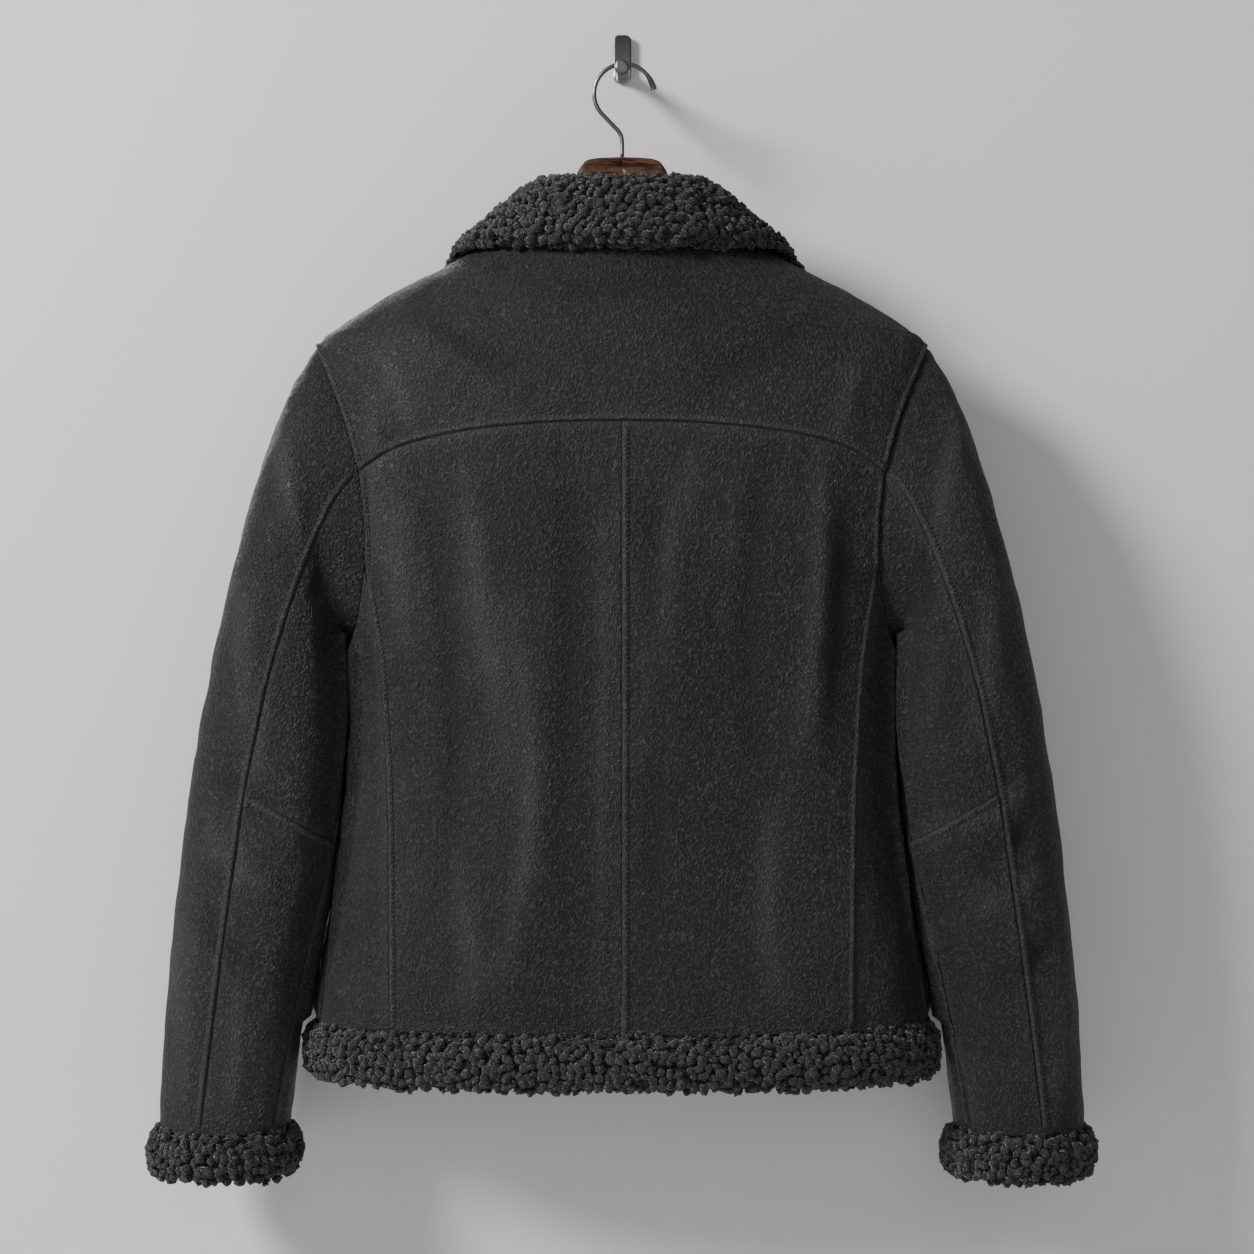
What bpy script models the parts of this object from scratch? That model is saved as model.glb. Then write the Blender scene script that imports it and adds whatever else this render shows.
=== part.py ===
"""Sheepskin flying jacket, hung on a wooden hanger from a wall hook.

Metres, +Z up. The wall is the plane y = 0 and the origin is the middle of the hook plate's back face.
The garment is laid out in its own frame, carried by the empty "hanging_line": y = 0 there is the plane
of the hanger, the back of the jacket faces -Y and z runs down from the crown of the hanger's wire.
The jacket's pieces are the ones a maker cuts. Each is a wall of shearling (skin and clipped wool)
lifted off one smooth torso or sleeve form, with a hairline between neighbours at every seam.
"""
import bmesh
import bpy
import numpy as np
from collections import namedtuple
from math import atan, cos, degrees, pi, radians, sin
from mathutils import Matrix, Vector
from mathutils.bvhtree import BVHTree

# Driving dimensions
HANG_Y = -0.086          # hanger plane, in front of the wall
HANG_Z = -0.0235         # hanging line, below the middle of the hook plate
WALL = 0.006             # shearling wall of the body
SLEEVE_WALL = 0.005
SEAM = 0.0003            # hairline between neighbouring pieces
HEM_Z = -0.7436          # leather's lower edge
FUR_PROUD = 0.0115       # fur band past the leather
HEM_DEPTH = 0.0434
CUFF_DEPTH = 0.038
ARM_MID = -0.337         # middle height of the armhole
ARM_HALF = 0.119
SHOULDER_TURN = -24      # armhole angle where the shoulder seam ends, forward of the tip
YOKE_TURN = 82           # armhole angle where the yoke seam ends
SIDE_TURN = 120          # armhole angle where the side-back seam ends
ZIP_HALF_GAP = 0.0075    # front edges stand this far from the middle
ZIP_TAPE = 0.0012
SLIDER_Z = -0.262

# Numbers of faces along the shared seams, so that both sides of a seam have the same points
BACK_COLUMNS = 10
FRONT_COLUMNS = 8
SIDE_COLUMNS = 4
SEAM_ROWS = 10
SHOULDER_ROWS = 4
YOKE_ARM_ROWS = 6
BACK_ARM_ROWS = 3
FRONT_ARM_ROWS = 11


def table(columns, rows):
    """Rows of a short table, as tuples with named columns."""
    row = namedtuple("row", columns)
    return [row(*values) for values in rows]


# Horizontal sections of the torso: half width, depth to the back and to the front, roundness
TORSO = table("z half_width back front power", (
    (-0.800, 0.2375, 0.0855, 0.0665, 2.60),
    (-0.744, 0.2365, 0.0855, 0.0665, 2.60),
    (-0.700, 0.2305, 0.0860, 0.0670, 2.60),
    (-0.640, 0.2205, 0.0865, 0.0680, 2.60),
    (-0.600, 0.2155, 0.0870, 0.0690, 2.60),
    (-0.530, 0.2105, 0.0875, 0.0700, 2.60),
    (-0.456, 0.2120, 0.0880, 0.0700, 2.60),
    (-0.410, 0.2185, 0.0875, 0.0690, 2.55),
    (-0.366, 0.2275, 0.0870, 0.0665, 2.50),
    (-0.300, 0.2375, 0.0840, 0.0610, 2.35),
    (-0.245, 0.2415, 0.0800, 0.0550, 2.15),
    (-0.218, 0.2395, 0.0770, 0.0520, 2.00),
    (-0.205, 0.2275, 0.0745, 0.0505, 1.85),
    (-0.191, 0.2051, 0.0710, 0.0480, 1.75),
    (-0.175, 0.1755, 0.0660, 0.0460, 1.70),
    (-0.156, 0.1357, 0.0585, 0.0430, 1.70),
    (-0.140, 0.1070, 0.0530, 0.0400, 1.75),
    (-0.125, 0.0780, 0.0460, 0.0360, 1.80),
    (-0.110, 0.0500, 0.0360, 0.0300, 1.85),
))

# Armhole edge, seen from the back and from the front
ARMHOLE = table("z x_back x_front", (
    (-0.456, 0.2120, 0.2120),
    (-0.445, 0.2065, 0.2045),
    (-0.425, 0.2010, 0.1960),
    (-0.400, 0.1967, 0.1890),
    (-0.375, 0.1950, 0.1880),
    (-0.345, 0.1968, 0.1910),
    (-0.322, 0.2002, 0.1950),
    (-0.298, 0.2055, 0.2020),
    (-0.267, 0.2170, 0.2145),
    (-0.245, 0.2267, 0.2250),
    (-0.230, 0.2335, 0.2325),
    (-0.218, 0.2395, 0.2395),
))

# Lower edge of the back yoke: nearly level, with a small step down just before the armhole
YOKE_SEAM = table("x z", (
    (0.000, -0.2835),
    (0.046, -0.2842),
    (0.085, -0.2868),
    (0.121, -0.2909),
    (0.150, -0.2965),
    (0.170, -0.3015),
    (0.185, -0.3085),
    (0.192, -0.3160),
    (0.201, -0.3204),
))

# Seam between the back and the side panel
SIDE_BACK_SEAM = table("z x", (
    (-0.744, 0.1754),
    (-0.642, 0.1768),
    (-0.567, 0.1780),
    (-0.513, 0.1808),
    (-0.478, 0.1830),
    (-0.455, 0.1852),
    (-0.423, 0.1904),
    (-0.396, 0.1963),
))

# Seam between the side and the front panel, turning to the back as it goes down
SIDE_SEAM = table("z turn", (
    (-0.744, 17.0),
    (-0.650, 13.0),
    (-0.550, 6.0),
    (-0.456, 0.0),
))

# Neck edge, by turn around the body: 90 is the middle of the back, 0 the shoulder, -90 the front
NECK = table("turn z", (
    (-90, -0.2140),
    (-80, -0.2060),
    (-60, -0.1760),
    (-30, -0.1420),
    (-18, -0.1340),
    (0, -0.1290),
    (30, -0.1365),
    (60, -0.1455),
    (90, -0.1495),
))
NECK_POINT = -18         # turn where the neck edge meets the shoulder seam

# Collar: lower edge of the fall, crest of the fold, and how far the fall swells past a straight line
COLLAR = table("turn z_edge x_fold y_fold z_fold swell", (
    (-88, -0.2450, 0.0130, 0.0365, -0.1760, 0.0110),
    (-80, -0.2500, 0.0300, 0.0340, -0.1600, 0.0120),
    (-60, -0.2250, 0.0520, 0.0270, -0.1280, 0.0120),
    (-30, -0.1780, 0.0620, 0.0130, -0.0980, 0.0090),
    (0, -0.1540, 0.0605, -0.0040, -0.0860, 0.0055),
    (30, -0.1535, 0.0500, -0.0280, -0.0890, 0.0100),
    (60, -0.1532, 0.0300, -0.0420, -0.0903, 0.0150),
    (90, -0.1535, 0.0000, -0.0460, -0.0905, 0.0170),
))
COLLAR_EDGE_LIFT = 0.006     # fall's tip above the shoulder
COLLAR_CLEAR = 0.0036        # fall's underside above the yoke
NECK_GAP = 0.0008            # collar above the neck edge, hidden under the fall
FOLD_THICK = 0.017

# Outer contour of the fall from its tip to the fold: share of the way, share of the swell.
# The dip is the groove that parts the fuller lower roll from the rest.
FALL = table("along swell", (
    (0.06, 0.62),
    (0.20, 1.00),
    (0.37, 0.58),
    (0.56, 0.82),
    (0.82, 0.62),
))

# Sleeve rings, from the armhole down: outer point, underarm point and half depth
SLEEVE = table("row x_out z_out x_in z_in y_out y_in half_depth", (
    (0, 0.2395, -0.218, 0.2120, -0.4560, 0.000, 0.000, 0.0500),
    (1, 0.2555, -0.246, 0.2145, -0.4570, 0.000, -0.004, 0.0550),
    (2, 0.2702, -0.280, 0.2145, -0.4630, -0.001, -0.010, 0.0560),
    (3, 0.2868, -0.333, 0.2135, -0.4790, -0.003, -0.017, 0.0570),
    (4, 0.3040, -0.400, 0.2136, -0.5080, -0.004, -0.022, 0.0570),
    (5, 0.3190, -0.470, 0.2156, -0.5520, -0.005, -0.024, 0.0560),
    (6, 0.3312, -0.539, 0.2205, -0.6030, -0.005, -0.023, 0.0545),
    (7, 0.3432, -0.628, 0.2315, -0.6600, -0.005, -0.019, 0.0520),
    (8, 0.3530, -0.712, 0.2440, -0.7230, -0.003, -0.011, 0.0490),
    (9, 0.3582, -0.783, 0.2530, -0.7830, -0.001, -0.004, 0.0470),
    (10, 0.3602, -0.826, 0.2577, -0.8260, 0.000, -0.003, 0.0455),
    (11, 0.3606, -0.866, 0.2583, -0.8660, 0.000, -0.003, 0.0455),
))
SLEEVE_POWER = 2.2
ELBOW_ROW = 6
CUFF_ROW = 10
CAP_BLEND = 1.6          # rows over which the armhole's own shape fades out of the sleeve
SLEEVE_ROWS = (0, 0.4, 0.9, 1.5, 2.2, 3.0, 3.9, 4.9, 6, 7.0, 8.0, 9.0, 10)

# Sleeve seams, as turns around the ring from its outer point over the back
SLEEVE_SEAMS = table("row back_seam inner_seam", (
    (0, 82, 180),
    (2, 76, 180),
    (4, 71, 178),
    (6, 69, 170),
    (8, 67, 152),
    (10, 66, 137),
    (11, 66, 135),
))

# Large drape folds: a soft ridge (or trough, below zero) along a bowed line. face 1 is the back
FOLDS = table("face x_top x_mid x_low z_top z_low width height", (
    (1, -0.156, -0.143, -0.136, -0.26, -0.70, 0.020, -0.0030),
    (1, -0.104, -0.062, -0.104, -0.27, -0.80, 0.021, 0.0032),
    (1, -0.016, -0.020, -0.024, -0.30, -0.80, 0.019, -0.0026),
    (1, 0.052, 0.033, 0.062, -0.38, -0.80, 0.018, 0.0030),
    (1, 0.048, 0.088, 0.094, -0.30, -0.74, 0.017, -0.0028),
    (1, 0.134, 0.144, 0.128, -0.24, -0.66, 0.020, 0.0030),
    (-1, 0.120, 0.096, 0.112, -0.30, -0.80, 0.021, 0.0030),
    (-1, 0.066, 0.050, 0.060, -0.34, -0.76, 0.018, -0.0024),
    (-1, -0.128, -0.104, -0.090, -0.28, -0.80, 0.020, 0.0028),
    (-1, -0.060, -0.054, -0.066, -0.36, -0.72, 0.018, -0.0026),
))
FOLD_FADE = 0.07         # length over which a fold dies out at its ends

# Section of the fur bands: share of the band's depth, share of the distance past the leather
FUR_BAND = table("down out", (
    (0.00, -0.70),
    (0.00, 0.10),
    (0.14, 0.80),
    (0.48, 1.00),
    (0.82, 0.80),
    (1.00, 0.25),
    (1.00, -0.35),
    (0.74, -0.80),
    (0.26, -0.80),
))

# Wooden hanger: the hump under the hook and the arms inside the shoulders
HANGER = table("x top deep half_thick", (
    (0.0000, -0.0714, 0.047, 0.0075),
    (0.0180, -0.0718, 0.048, 0.0075),
    (0.0270, -0.0730, 0.048, 0.0075),
    (0.0330, -0.0770, 0.046, 0.0075),
    (0.0365, -0.0850, 0.040, 0.0075),
    (0.0450, -0.1110, 0.028, 0.0076),
    (0.0600, -0.1275, 0.024, 0.0078),
    (0.0780, -0.1405, 0.023, 0.0080),
))
HANGER_REACH = 0.204
HANGER_ARM_DEEP = 0.022
HANGER_TIP_DEEP = 0.015
HANGER_ARM_STATIONS = 12
HANGER_REST = 0.0009     # wood below the yoke's wool

# Hanger wire and wall hook
WIRE = 0.00175
WIRE_CROWN = 0.0015      # wire centre above the hanging line
WIRE_LOOP = 0.0235
WIRE_SHIFT = 0.0015
PLATE_WIDE = 0.0146
PLATE_TALL = 0.0380
PLATE_THICK = 0.0060
ARM_RADIUS = 0.0046
ROOT_RADIUS = 0.0055
NOSE_RADIUS = 0.0062
NOSE_Y = -0.106


def smooth_curve(rows, key, column):
    """A smooth curve without overshoot through one column of a table."""
    xs = np.array([getattr(row, key) for row in rows], float)
    ys = np.array([getattr(row, column) for row in rows], float)
    step = np.diff(xs)
    slope = np.diff(ys) / step
    tangent = np.zeros(len(xs))
    tangent[0], tangent[-1] = slope[0], slope[-1]
    for i in range(1, len(xs) - 1):
        if slope[i - 1] * slope[i] > 0:
            before, after = 2 * step[i] + step[i - 1], step[i] + 2 * step[i - 1]
            tangent[i] = (before + after) / (before / slope[i - 1] + after / slope[i])

    def value(x):
        x = min(max(x, xs[0]), xs[-1])
        i = min(max(int(np.searchsorted(xs, x)) - 1, 0), len(xs) - 2)
        t = (x - xs[i]) / step[i]
        start = (1 + 2 * t) * (1 - t) ** 2 * ys[i] + t * (1 - t) ** 2 * step[i] * tangent[i]
        end = t * t * (3 - 2 * t) * ys[i + 1] + t * t * (t - 1) * step[i] * tangent[i + 1]
        return float(start + end)

    return value


def curves(rows, key):
    """One smooth curve for each other column of a table, by name."""
    return {name: smooth_curve(rows, key, name) for name in rows[0]._fields if name != key}


TORSO_AT = curves(TORSO, "z")
ARMHOLE_AT = curves(ARMHOLE, "z")
YOKE_SEAM_AT = smooth_curve(YOKE_SEAM, "x", "z")
SIDE_BACK_AT = smooth_curve(SIDE_BACK_SEAM, "z", "x")
SIDE_SEAM_AT = smooth_curve(SIDE_SEAM, "z", "turn")
NECK_AT = smooth_curve(NECK, "turn", "z")
COLLAR_AT = curves(COLLAR, "turn")
SLEEVE_AT = curves(SLEEVE, "row")
SEAMS_AT = curves(SLEEVE_SEAMS, "row")


def ease(t):
    """0 to 1 with soft ends."""
    t = min(max(t, 0.0), 1.0)
    return t * t * (3 - 2 * t)


# The torso form

def torso_base(turn, z):
    """Point on the torso form without folds, on the right side; turn is in degrees."""
    c, s = cos(radians(turn)), sin(radians(turn))
    power = TORSO_AT["power"](z)
    depth = TORSO_AT["back" if s > 0 else "front"](z)
    reach = (abs(c) ** power + abs(s) ** power) ** (-1 / power)
    return Vector((TORSO_AT["half_width"](z) * reach * c, -depth * reach * s, z))


def torso_field(x, y, z):
    """1 on the torso form, more outside."""
    power = TORSO_AT["power"](z)
    depth = TORSO_AT["back" if y < 0 else "front"](z)
    return (abs(x) / TORSO_AT["half_width"](z)) ** power + (abs(y) / depth) ** power


def torso_normal(point):
    """Outward direction, from small steps in the field."""
    step = 0.0004
    x, y, z = point
    return Vector((
        torso_field(x + step, y, z) - torso_field(x - step, y, z),
        torso_field(x, y + step, z) - torso_field(x, y - step, z),
        torso_field(x, y, z + step) - torso_field(x, y, z - step),
    )).normalized()


def turn_of(x, z, face=1):
    """Turn around the torso of a point at distance x from the middle; face -1 is the front."""
    power = TORSO_AT["power"](z)
    ratio = max(TORSO_AT["half_width"](z) / max(x, 1e-6), 1.0)
    return face * degrees(atan((ratio ** power - 1) ** (1 / power)))


def fold_height(point):
    """Height of the drape folds at a point of the torso."""
    face = 1 if point.y < 0 else -1
    facing = ease(abs(point.y) / 0.045 - 0.35)
    height = 0.0
    for fold in FOLDS:
        if fold.face == face:
            t = (point.z - fold.z_top) / (fold.z_low - fold.z_top)
            middle = (fold.x_top * (1 - t) * (1 - 2 * t) + 4 * fold.x_mid * t * (1 - t)
                      + fold.x_low * t * (2 * t - 1))
            ends = ease((fold.z_top - point.z) / FOLD_FADE) * ease((point.z - fold.z_low) / FOLD_FADE)
            height += fold.height * ends * np.exp(-((point.x - middle) / fold.width) ** 2)
    return facing * float(height)


def torso_lift(turn, z, side=1, out=0.0):
    """Point on the draped torso and its outward direction; side -1 is the left."""
    point = torso_base(turn, z)
    normal = torso_normal(point)
    point.x *= side
    normal.x *= side
    return point + normal * (fold_height(point) + out), normal


def armhole_turn(angle):
    """Armhole edge by its own angle: 0 at the shoulder tip, over the back to 180 at the armpit."""
    z = ARM_MID + ARM_HALF * cos(radians(angle))
    face = 1 if sin(radians(angle)) >= 0 else -1
    column = "x_back" if face > 0 else "x_front"
    return turn_of(ARMHOLE_AT[column](z), z, face), z


def steps(start, end, count):
    """Evenly spaced values with both ends."""
    return [start + (end - start) * i / count for i in range(count + 1)]


# Seam lines shared by neighbouring pieces, as (turn, z) pairs

ARM_ANGLES = {
    "yoke": steps(SHOULDER_TURN, YOKE_TURN, YOKE_ARM_ROWS),
    "back": steps(YOKE_TURN, SIDE_TURN, BACK_ARM_ROWS),
    "side": steps(SIDE_TURN, 180, SIDE_COLUMNS),
    "front": steps(180, 360 + SHOULDER_TURN, FRONT_ARM_ROWS),
}


def armhole_line(part):
    return [armhole_turn(angle) for angle in ARM_ANGLES[part]]


def yoke_line():
    """From the middle of the back to the armhole."""
    end_turn, end_z = armhole_turn(YOKE_TURN)
    end_x = torso_base(end_turn, end_z).x
    line = [(90.0, YOKE_SEAM_AT(0.0))]
    for x in steps(0.0, end_x, BACK_COLUMNS)[1:-1]:
        line.append((turn_of(x, YOKE_SEAM_AT(x)), YOKE_SEAM_AT(x)))
    return line + [(end_turn, end_z)]


def side_back_line():
    top = armhole_turn(SIDE_TURN)
    return [(turn_of(SIDE_BACK_AT(z), z), z) for z in steps(HEM_Z, top[1], SEAM_ROWS)[:-1]] + [top]


def side_line():
    return [(SIDE_SEAM_AT(z), z) for z in steps(HEM_Z, ARM_MID - ARM_HALF, SEAM_ROWS)]


def neck_line(start, end, count):
    return [(turn, NECK_AT(turn)) for turn in steps(start, end, count)]


def shoulder_line():
    """From the neck to the armhole, along the front of the shoulder."""
    start = (NECK_POINT, NECK_AT(NECK_POINT))
    end = armhole_turn(360 + SHOULDER_TURN)
    return [(start[0] + (end[0] - start[0]) * t, start[1] + (end[1] - start[1]) * t)
            for t in steps(0, 1, SHOULDER_ROWS)]


def front_edge_line(count):
    top = -turn_of(ZIP_HALF_GAP, NECK_AT(-90))
    line = [(-turn_of(ZIP_HALF_GAP, z), z) for z in steps(HEM_Z, NECK_AT(-90), count)]
    return line[:-1] + [(top, NECK_AT(top))]


def level_line(start, end, count):
    return [(turn, HEM_Z) for turn in steps(start[0], end[0], count)]


def patch(bottom, top, left, right):
    """Grid of (turn, z) between four seam lines that share their corners."""
    bottom, top, left, right = (np.array(line) for line in (bottom, top, left, right))
    columns, rows = len(bottom) - 1, len(left) - 1
    grid = []
    for j in range(rows + 1):
        v = j / rows
        row = []
        for i in range(columns + 1):
            u = i / columns
            across = (1 - v) * bottom[i] + v * top[i] + (1 - u) * left[j] + u * right[j]
            corners = ((1 - u) * (1 - v) * bottom[0] + u * (1 - v) * bottom[-1]
                       + (1 - u) * v * top[0] + u * v * top[-1])
            row.append(tuple(across - corners))
        grid.append(row)
    return grid


# Turning grids of points into closed walls

def draw_in(points, normals, edges):
    """Move the named edges of a grid in by half a seam, along the surface."""
    rows, columns = len(points), len(points[0])
    moved = [[point.copy() for point in row] for row in points]
    runs = {
        "bottom": ([(0, i) for i in range(columns)], (1, 0)),
        "top": ([(rows - 1, i) for i in range(columns)], (-1, 0)),
        "left": ([(j, 0) for j in range(rows)], (0, 1)),
        "right": ([(j, columns - 1) for j in range(rows)], (0, -1)),
    }
    for edge in edges:
        run, inward = runs[edge]
        for k, (j, i) in enumerate(run):
            before, after = run[max(k - 1, 0)], run[min(k + 1, len(run) - 1)]
            along = points[after[0]][after[1]] - points[before[0]][before[1]]
            across = normals[j][i].cross(along).normalized()
            inside = points[j + inward[0]][i + inward[1]] - points[j][i]
            moved[j][i] += across * (SEAM / 2 if across.dot(inside) > 0 else -SEAM / 2)
    return moved


def grid_mesh(name, layers, ring=False, closed_section=False):
    """Mesh from a grid of points; ring joins the last row to the first, closed_section the columns."""
    rows, columns = len(layers) - 1, len(layers[0]) - 1
    bm = bmesh.new()
    bmesh.ops.create_grid(bm, x_segments=columns, y_segments=rows, size=1.0)
    for vert in bm.verts:
        i = round((vert.co.x + 1) / 2 * columns)
        j = round((vert.co.y + 1) / 2 * rows)
        vert.co = layers[j][i]
    if ring or closed_section:
        bmesh.ops.remove_doubles(bm, verts=bm.verts, dist=1e-6)
    open_edges = [edge for edge in bm.edges if edge.is_boundary]
    if open_edges:
        bmesh.ops.holes_fill(bm, edges=open_edges)
    return finish_mesh(name, bm)


def finish_mesh(name, bm):
    bmesh.ops.recalc_face_normals(bm, faces=bm.faces)
    mesh = bpy.data.meshes.new(name)
    bm.to_mesh(mesh)
    bm.free()
    mesh.shade_smooth()
    mesh.set_sharp_from_angle(angle=radians(50))
    return mesh


def wall_mesh(name, outer, normals, thick, inner=None):
    """Closed wall: a grid of outer points and the same grid moved in along its directions."""
    rows, columns = len(outer) - 1, len(outer[0]) - 1
    bm = bmesh.new()
    bmesh.ops.create_grid(bm, x_segments=columns, y_segments=rows, size=1.0)
    extruded = bmesh.ops.extrude_face_region(bm, geom=bm.faces[:], use_keep_orig=True)
    inside = {item for item in extruded["geom"] if isinstance(item, bmesh.types.BMVert)}
    for vert in bm.verts:
        i = round((vert.co.x + 1) / 2 * columns)
        j = round((vert.co.y + 1) / 2 * rows)
        if vert not in inside:
            vert.co = outer[j][i]
        elif inner:
            vert.co = inner[j][i]
        else:
            vert.co = outer[j][i] - normals[j][i] * thick
    rims = [face for face in bm.faces if 0 < sum(vert in inside for vert in face.verts) < 4]
    for face in rims:
        split_rim(face, inside)
    return finish_mesh(name, bm)


def split_rim(face, inside):
    """Cut a twisted rim face along the same diagonal as the neighbour across the seam has."""
    outer = [vert for vert in face.verts if vert not in inside]
    first = min(outer, key=lambda vert: vert.co.z + 0.37 * vert.co.y + 0.21 * abs(vert.co.x))
    around = list(face.verts)
    bmesh.utils.face_split(face, first, around[(around.index(first) + 2) % 4])


def section_loft(name, sections, ring=False):
    """Closed solid through sections, each a loop of points; ring makes it run all the way round."""
    rows = [list(section) + [section[0]] for section in sections]
    if ring:
        rows.append(rows[0])
    return grid_mesh(name, rows, ring=ring, closed_section=True)


# Scene set-up and finishes

def clear_scene():
    for item in list(bpy.data.objects):
        bpy.data.objects.remove(item)


def finish(name, colour, roughness, metallic=0.0):
    """Principled material with one colour."""
    material = bpy.data.materials.new(name)
    material.use_nodes = True
    shader = material.node_tree.nodes["Principled BSDF"]
    shader.inputs["Base Color"].default_value = (*colour, 1.0)
    shader.inputs["Roughness"].default_value = roughness
    shader.inputs["Metallic"].default_value = metallic
    return material


FINISH_VALUES = {
    "leather": ((0.027, 0.025, 0.023), 0.62, 0.0),
    "fur": ((0.024, 0.022, 0.021), 0.95, 0.0),
    "wood": ((0.055, 0.021, 0.012), 0.38, 0.0),
    "steel": ((0.42, 0.40, 0.37), 0.32, 1.0),
    "tape": ((0.012, 0.012, 0.012), 0.85, 0.0),
    "brass": ((0.10, 0.085, 0.06), 0.4, 1.0),
}


def add(name, data, look, parent, collection):
    """Object with its own material, in the part's collection."""
    item = bpy.data.objects.new(name, data)
    data.materials.append(finish(name, *FINISH_VALUES[look]))
    item.parent = parent
    collection.objects.link(item)
    return item


# Pieces of the body

def lifted(grid, side=1):
    """Points and outward directions of a grid of (turn, z) on one side of the torso."""
    pairs = [[torso_lift(turn, z, side) for turn, z in row] for row in grid]
    return [[p for p, _ in row] for row in pairs], [[n for _, n in row] for row in pairs]


def torso_panel(name, grid, side, edges=("bottom", "top", "left", "right")):
    points, normals = lifted(grid, side)
    return wall_mesh(name, draw_in(points, normals, edges), normals, WALL)


def yoke_grid():
    """Right half of the yoke, from the middle of the back to the armhole."""
    outer_edge = armhole_line("yoke")[::-1] + shoulder_line()[-2::-1]
    middle = [(90.0, z) for z in steps(YOKE_SEAM_AT(0.0), NECK_AT(90), YOKE_ARM_ROWS + SHOULDER_ROWS)]
    return patch(yoke_line(), neck_line(90, NECK_POINT, BACK_COLUMNS), middle, outer_edge)


def yoke_mesh():
    """The yoke is one piece over both shoulders."""
    grid = yoke_grid()
    right, right_normals = lifted(grid, 1)
    left, left_normals = lifted(grid, -1)
    points = [l[:0:-1] + r for l, r in zip(left, right)]
    normals = [l[:0:-1] + r for l, r in zip(left_normals, right_normals)]
    moved = draw_in(points, normals, ("bottom", "top", "left", "right"))
    return wall_mesh("back_yoke", moved, normals, WALL)


def back_grid():
    arm = armhole_line("back")[::-1]
    outer_edge = side_back_line() + arm[1:]
    middle = [(90.0, z) for z in steps(HEM_Z, YOKE_SEAM_AT(0.0), SEAM_ROWS + BACK_ARM_ROWS)]
    return patch(level_line(middle[0], outer_edge[0], BACK_COLUMNS), yoke_line(), middle, outer_edge)


def side_grid():
    back_edge, front_edge = side_back_line(), side_line()
    return patch(level_line(back_edge[0], front_edge[0], SIDE_COLUMNS), armhole_line("side"),
                 back_edge, front_edge)


def front_grid():
    outer_edge = side_line() + armhole_line("front")[1:] + shoulder_line()[-2::-1]
    front_edge = front_edge_line(SEAM_ROWS + FRONT_ARM_ROWS + SHOULDER_ROWS)
    neck = neck_line(NECK_POINT, front_edge[-1][0], FRONT_COLUMNS)
    return patch(level_line(outer_edge[0], front_edge[0], FRONT_COLUMNS), neck, outer_edge, front_edge)


# Sleeves

def sleeve_ring(row, angle, side):
    """Point on the sleeve form; angle runs from the outer line over the back to the underarm."""
    at = {name: curve(row) for name, curve in SLEEVE_AT.items()}
    outer = Vector((at["x_out"], at["y_out"], at["z_out"]))
    inner = Vector((at["x_in"], at["y_in"], at["z_in"]))
    axis = (outer - inner).normalized()
    back = Vector((0, -1, 0))
    back = (back - axis * back.dot(axis)).normalized()
    c, s = cos(radians(angle)), sin(radians(angle))
    lean = abs(c) ** (2 / SLEEVE_POWER) * (1 if c > 0 else -1)
    deep = abs(s) ** (2 / SLEEVE_POWER) * (1 if s > 0 else -1)
    point = (outer + inner) / 2 + (outer - inner) / 2 * lean + back * at["half_depth"] * deep
    return Vector((point.x * side, point.y, point.z))


def sleeve_point(row, angle, side):
    """The form, made to start exactly from the armhole edge."""
    point = sleeve_ring(row, angle, side)
    fade = max(0.0, 1 - row / CAP_BLEND) ** 2
    if fade:
        edge = torso_lift(*armhole_turn(angle), side)[0]
        point += (edge - sleeve_ring(0, angle, side)) * fade
    return point


def sleeve_normal(row, angle, side):
    step_row, step_angle = 0.05, 1.0
    low = max(row - step_row, 0.0)
    down = sleeve_point(row + step_row, angle, side) - sleeve_point(low, angle, side)
    around = sleeve_point(row, angle + step_angle, side) - sleeve_point(row, angle - step_angle, side)
    return around.cross(down).normalized() * side


def armhole_frame(angle, side):
    """Torso's outward direction at the armhole edge, and the way into the hole."""
    edge, normal = torso_lift(*armhole_turn(angle), side)
    along = torso_lift(*armhole_turn(angle + 2), side)[0] - torso_lift(*armhole_turn(angle - 2), side)[0]
    across = normal.cross(along).normalized()
    middle = Vector((edge.x, 0.0, ARM_MID))
    if across.dot(middle - edge) < 0:
        across = -across
    return normal, across


def sleeve_grid(side, angles_at, rows):
    """Outer and inner points of part of a sleeve; angles_at gives the ring's angles for a row."""
    outer, inner, normals = [], [], []
    for row in rows:
        outer_row, inner_row, normal_row = [], [], []
        for angle in angles_at(row):
            point = sleeve_point(row, angle, side)
            normal = sleeve_normal(row, angle, side)
            if row == 0:
                body, across = armhole_frame(angle, side)
                crotch = ease((-cos(radians(angle)) - 0.5) / 0.45)
                point += across * SEAM / 2
                normal = (body + normal * crotch * 0.9).normalized()
            outer_row.append(point)
            inner_row.append(point - normal * SLEEVE_WALL)
            normal_row.append(normal)
        outer.append(outer_row)
        inner.append(inner_row)
        normals.append(normal_row)
    return outer, inner, normals


def ring_angles(parts, seam_angles):
    """Angles along a row: the armhole's own at the top, even ones between the seams lower down."""
    start_shares = np.array(parts, float)
    start_shares = (start_shares - start_shares[0]) / (start_shares[-1] - start_shares[0])
    even = np.linspace(0, 1, len(parts))

    def angles(row):
        first, last = seam_angles(row)
        mixed = start_shares + (even - start_shares) * ease(row / 3)
        return [first + (last - first) * share for share in mixed]

    return angles


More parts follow.
